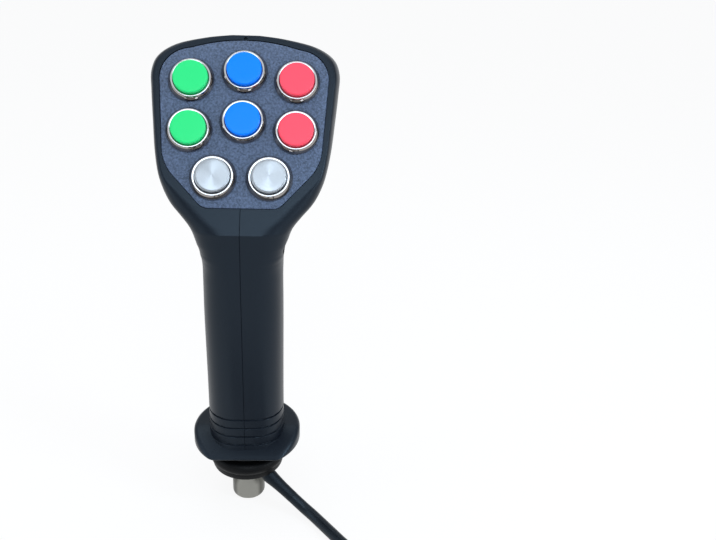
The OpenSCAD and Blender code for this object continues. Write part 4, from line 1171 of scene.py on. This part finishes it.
def on_each_button(name, master, mat):
    """One plain mesh with a copy of the master at each button's place on the panel."""
    mesh = bpy.data.meshes.new(name)
    mesh.from_pydata([tuple(panel_matrix(*at).translation * MM) for at in BUTTONS.values()], [], [])
    obj = placed(name, mesh)
    group = bpy.data.node_groups.get("on_each_place") or repeat_tree()
    repeat = obj.modifiers.new("Repeat", "NODES")
    repeat.node_group = group
    values = {"Master": master, "Lean": math.pi / 2 - lean(), "Size": 1.0, "Material": mat}
    for item in group.interface.items_tree:
        if item.in_out == "INPUT" and item.name in values:
            repeat[item.identifier] = values[item.name]
    settle(obj)
    bpy.data.objects.remove(master)
    return obj


def bezel_metal():
    """Polished metal, with a painted dark reflection on the slope that makes it darker than the lip."""
    mat = material("polished_chrome", CHROME, metallic=1.0, roughness=0.08)
    lip = mat.node_tree.nodes.new("ShaderNodeAttribute")
    lip.attribute_name = "lip"
    # painted dark reflection on the slope, plain chrome on the lip
    blend_colours(mat, lip.outputs["Fac"], SLOPE_PAINTED_REFLECTION, CHROME)
    return mat


def turned_steel():
    """Stainless steel with fine turning rings, which draw the light out into two fans."""
    mat = material("turned_steel", TURNED_STEEL, metallic=1.0, roughness=0.34)
    nodes, link = mat.node_tree.nodes, mat.node_tree.links.new
    shader = nodes["Principled BSDF"]
    shader.inputs["Anisotropic"].default_value = 0.9
    tangent = nodes.new("ShaderNodeTangent")
    tangent.direction_type = "UV_MAP"
    tangent.uv_map = "turned"
    uv = nodes.new("ShaderNodeUVMap")
    uv.uv_map = "turned"
    radius = nodes.new("ShaderNodeSeparateXYZ")
    rings = nodes.new("ShaderNodeTexNoise")
    rings.noise_dimensions = "1D"
    rings.inputs["Scale"].default_value = 45.0
    link(tangent.outputs["Tangent"], shader.inputs["Tangent"])
    link(uv.outputs["UV"], radius.inputs["Vector"])
    link(radius.outputs["Y"], rings.inputs["W"])
    link(mapped(mat, rings.outputs["Fac"], 0.24, 0.44), shader.inputs["Roughness"])
    return mat


def add_turned_uv(cap, at):
    """Adds a UV map with u once round the cap's centre and v from the centre to the edge."""
    inverse = panel_matrix(*at).inverted()
    r = sizes().cap / MM / 2
    layer = cap.data.uv_layers.new(name="turned")
    for face in cap.data.polygons:
        middle = inverse @ (face.center / MM)
        around = math.atan2(middle.y, middle.x)
        for k in face.loop_indices:
            p = inverse @ (cap.data.vertices[cap.data.loops[k].vertex_index].co / MM)
            out = math.hypot(p.x, p.y)
            turn = math.atan2(p.y, p.x) - around if out > 1e-3 else 0.0
            turn -= 2 * math.pi * round(turn / (2 * math.pi))
            layer.data[k].uv = (0.5 + (around + turn) / (2 * math.pi), out / r)


def add_bushes():
    """Adds the eight bushes with their bezels; the attribute lip marks the bezels' flat edge, and the slope
    outside it takes a painted dark reflection.
    """
    chrome = bezel_metal()
    master = revolved("bush_master", bush_profile(), segments=128)
    lip = master.data.attributes.new("lip", "FLOAT", "POINT")
    for vertex, value in zip(master.data.vertices, lip.data):
        value.value = 1.0 if vertex.co.z > (BEZEL_H - 0.05) * MM else 0.0
    bushes = on_each_button("bezels", master, chrome)
    finish_piece(bushes, "grip", chrome, "bush_chrome", *(cad_name(b, "bush") for b in BUTTONS), angle=28)


def add_seals():
    """Adds the eight flat seals."""
    rubber = material("seal_rubber", RUBBER, roughness=0.6)
    seals = on_each_button("seals", revolved("seal_master", seal_profile(), segments=128), rubber)
    finish_piece(seals, "grip", rubber, "rubber", "bush_seals")


def add_caps():
    """Adds the eight caps, each on its own body."""
    tints = {"green": colours().green, "blue": colours().blue, "red": colours().red}
    finishes = {name: material("anodised_" + name, tuple(tint), roughness=0.3, specular=0.16)
                for name, tint in tints.items()}
    finishes["steel"] = turned_steel()
    for button, at in BUTTONS.items():
        colour = button.split("_")[0]
        cap = revolved(button + "_cap", cap_profile(), panel_matrix(*at), CAP_SEGMENTS)
        add_turned_uv(cap, at)
        finish_piece(cap, cad_name(button, "button"), finishes[colour], "cap_" + colour,
                     cad_name(button, "cap"), angle=28)


def dress_switches():
    """Paints the switch bodies and nuts behind the panel, and adds the springs under the caps."""
    black = material("switch_black", NYLON, roughness=0.45)
    wire = material("spring_wire", STEEL, metallic=1.0, roughness=0.3)
    for button in BUTTONS:
        paint(cad_name(button, "switch"), black)
        add_spring(cad_name(button, "spring"), wire)
    paint("bush_nuts", material("nut_chrome", STEEL, metallic=1.0, roughness=0.25))


class JOYSTICK_OT_buttons(bpy.types.Operator):
    """Adds the eight push buttons: bezels, seals, nuts, caps, springs and switches"""

    bl_idname = "joystick.buttons"
    bl_label = "Buttons"

    def execute(self, context):
        add_bushes()
        add_seals()
        add_caps()
        dress_switches()
        return {"FINISHED"}


# ---------------------------------------------------------------- trigger
LUG_R = 3.6
LUG_HALF = 4.8


class JOYSTICK_OT_trigger(bpy.types.Operator):
    """Adds the trigger bar with its pin, spring and microswitch"""

    bl_idname = "joystick.trigger"
    bl_label = "Trigger"

    def execute(self, context):
        bar = rounded_box("trigger_bar", (-TRIGGER_W / 2, TRIGGER_FACE, TRIGGER_TOP - TRIGGER_L),
                          (TRIGGER_W / 2, GRIP_BACK + TRIGGER_PROUD, TRIGGER_TOP), 1.0)
        lug = rod("lug", LUG_R, 2 * LUG_HALF, along_x(*PIVOT, -LUG_HALF))
        arm = block("arm", (-LUG_HALF, PIVOT[0], PIVOT[1] - LUG_R),
                    (LUG_HALF, TRIGGER_FACE + PAST, PIVOT[1] + LUG_R))
        combine(bar, [lug, arm], "UNION")
        combine(bar, [rod("bore", PIN_HOLE_R, 12, along_x(*PIVOT, -6))], "DIFFERENCE")
        crimson = material("moulded_crimson", tuple(colours().trigger), roughness=0.3, coat=0.2)
        finish_piece(bar, "trigger", crimson, "trigger_red", "trigger")
        steel = material("pin_steel", STEEL, metallic=1.0, roughness=0.3)
        for node in ("trigger_pin", "microswitch_screws", "cross_pin"):
            paint(node, steel)
        add_spring("trigger_spring", steel)
        paint("microswitch", material("microswitch_black", NYLON, roughness=0.45))
        paint("microswitch_plunger", material("plunger_cream", PLUNGER, roughness=0.4))
        return {"FINISHED"}


# ---------------------------------------------------------------- lever end
FOOT_R = 8.6
FOOT_EDGE = 2.4
WAIST_R = 6.9
SHANK_R = 8.3
STUD_R = 6.0
FLAT_Y = 7.3            # from the middle to each wrench flat
FLAT_TOP = 14.0
THREAD_R = 5.1
THREAD_T = 0.75
THREAD_PITCH = 1.75
THREAD_L = 24.0
THREAD_MOUTH = 0.9      # chamfer at the mouth
GLAND_HOLE_R = 3.95


def eased(first, last, steps):
    """Points of a profile that swings softly from one (radius, height) to another."""
    (r0, z0), (r1, z1) = first, last
    return [(r0 + (r1 - r0) * (1 - math.cos(math.pi * k / steps)) / 2, z0 + (z1 - z0) * k / steps)
            for k in range(steps + 1)]


def thread_profile():
    """Tapped hole with a chamfered mouth, its thread drawn as rings."""
    profile = [(0, -PAST), (THREAD_R + THREAD_MOUTH, -PAST), (THREAD_R, THREAD_MOUTH)]
    z = THREAD_MOUTH
    while z < 22:
        profile += [(THREAD_R + THREAD_T, z + 0.8), (THREAD_R, z + 1.6)]
        z += THREAD_PITCH
    return profile + [(THREAD_R, THREAD_L), (0, THREAD_L + 2)]


def adapter_metal():
    """Metal that is dull where it is turned, with a painted highlight on the two milled flats and the turned
    faces by them, which look front and back.
    """
    mat = material("turned_metal", ALUMINIUM, metallic=1.0, roughness=0.36)
    nodes, link = mat.node_tree.nodes, mat.node_tree.links.new
    place = nodes.new("ShaderNodeTexCoord")
    across = nodes.new("ShaderNodeSeparateXYZ")
    away = nodes.new("ShaderNodeMath")
    away.operation = "ABSOLUTE"
    link(place.outputs["Object"], across.inputs["Vector"])
    link(across.outputs["Y"], away.inputs[0])
    # share of the painted highlight, from the turned faces by the flats onto the flats
    share = mapped(mat, away.outputs["Value"], 0.0, 1.0, 5.4 * MM, 6.9 * MM)
    blend_colours(mat, share, ALUMINIUM, MILLED_FLAT_HIGHLIGHT)
    return mat


def add_adapter():
    """Adds the turned adapter with its wrench flats, tapped hole and stud."""
    profile = [(0, 0)] + arc((FOOT_R - FOOT_EDGE, FOOT_EDGE), FOOT_EDGE, -math.pi / 2, 0, 10)
    profile += eased((FOOT_R, 7.8), (WAIST_R, 17.4), 24) + eased((WAIST_R, 18.0), (SHANK_R, 20.9), 14)
    profile += [(SHANK_R, FLANGE_Z - 0.1), (STUD_R, FLANGE_Z - 0.1), (STUD_R, TOWER_TOP - 0.5),
                (0, TOWER_TOP - 0.5)]
    adapter = revolved("adapter", profile, segments=160)
    cuts = [revolved("thread", thread_profile(), segments=64),
            rod("pin_bore", CROSS_PIN_R, 36, along_x(0, CROSS_PIN_Z, -18)),
            block("flat", (-18, FLAT_Y, -PAST), (18, 30, FLAT_TOP)),
            block("flat", (-18, -30, -PAST), (18, -FLAT_Y, FLAT_TOP))]
    combine(adapter, cuts, "DIFFERENCE")
    finish_piece(adapter, "grip", adapter_metal(), "adapter", "lever_adapter")


def boot_profile():
    """Section of the rubber boot: base, wide fold and collar outside, and its thin wall inside."""
    z, base, bore = BOOT_Z, 18.4, 13.85
    fold, fold_z, fold_r = 20.0, BOOT_Z + 6, 3.4
    collar, collar_z, collar_r = 17.2, FLANGE_Z - 3, 2.5
    outside = [(SHANK_HOLE_R, z), (base - 0.6, z), (base - 0.1, z + 0.25), (base + 0.1, z + 0.8),
               (base + 0.3, z + 2.4)]
    outside += arc((fold - fold_r, fold_z), fold_r, math.radians(-50), math.radians(76), 14)
    outside += [(collar - 1.9, fold_z + 3.8), (collar - 1.85, fold_z + 4.2)]
    outside += arc((collar - collar_r, collar_z), collar_r, math.radians(-40), math.radians(62), 14)
    outside += [(collar - 1.7, FLANGE_Z - 0.6), (collar - 1.75, FLANGE_Z - 0.1), (bore, FLANGE_Z - 0.1)]
    inside = [(bore, fold_z + 3.2), (15.0, fold_z + 1.9), (17.6, fold_z + 0.9), (18.2, fold_z),
              (16.8, fold_z - 1.2), (16.8, z + 2), (SHANK_HOLE_R, z + 2)]
    return outside + inside


def add_boot():
    """Adds the rubber boot, with the hole that the gland sits in."""
    boot = revolved("boot", boot_profile(), segments=160)
    combine(boot, [rod("gland_hole", GLAND_HOLE_R, 6, upright(BOOT_Z - 2, *GLAND_AT))], "DIFFERENCE")
    rubber = material("boot_rubber", RUBBER, roughness=0.45, rough_grain=(900, 0.06), specular=0.12)
    finish_piece(boot, "grip", rubber, "rubber", "rubber_boot", angle=40)


class JOYSTICK_OT_lever_end(bpy.types.Operator):
    """Adds the turned adapter, the rubber boot and the two through bolts"""

    bl_idname = "joystick.lever_end"
    bl_label = "Lever end"

    def execute(self, context):
        add_adapter()
        add_boot()
        steel = material("bolt_steel", STEEL, metallic=1.0, roughness=0.28)
        for node in ("head_bolt", "neck_bolt", "bolt_nuts"):
            finish_piece(merged_copy(node), "grip", steel, "pin_steel", node)
        return {"FINISHED"}


# ---------------------------------------------------------------- panel in the sidebar
OPERATORS = (JOYSTICK_OT_stage, JOYSTICK_OT_cable, JOYSTICK_OT_housing, JOYSTICK_OT_plate,
             JOYSTICK_OT_buttons, JOYSTICK_OT_trigger, JOYSTICK_OT_lever_end)


class JOYSTICK_PT_build(bpy.types.Panel):
    """Lists the sizes, the colours and the pieces"""

    bl_idname = "JOYSTICK_PT_build"
    bl_label = "Industrial joystick"
    bl_space_type = "VIEW_3D"
    bl_region_type = "UI"
    bl_category = "Joystick"

    def draw(self, context):
        for group in (context.scene.joystick_sizes, context.scene.joystick_colours):
            column = self.layout.column(align=True)
            for name in group.__annotations__:
                column.prop(group, name)
        column = self.layout.column(align=True)
        for operator in OPERATORS:
            column.operator(operator.bl_idname)


CLASSES = (JoystickSizes, JoystickColours, *OPERATORS, JOYSTICK_PT_build)


def register():
    """Registers the classes and the scene's settings."""
    for cls in CLASSES:
        bpy.utils.register_class(cls)
    bpy.types.Scene.joystick_sizes = bpy.props.PointerProperty(type=JoystickSizes)
    bpy.types.Scene.joystick_colours = bpy.props.PointerProperty(type=JoystickColours)


def unregister():
    """Removes what register added."""
    del bpy.types.Scene.joystick_colours
    del bpy.types.Scene.joystick_sizes
    for cls in reversed(CLASSES):
        bpy.utils.unregister_class(cls)


def main():
    """Builds the joystick piece by piece."""
    register()
    bpy.ops.joystick.stage()
    bpy.ops.joystick.cable()
    bpy.ops.joystick.housing()
    bpy.ops.joystick.plate()
    bpy.ops.joystick.buttons()
    bpy.ops.joystick.trigger()
    bpy.ops.joystick.lever_end()


if __name__ == "__main__":
    main()
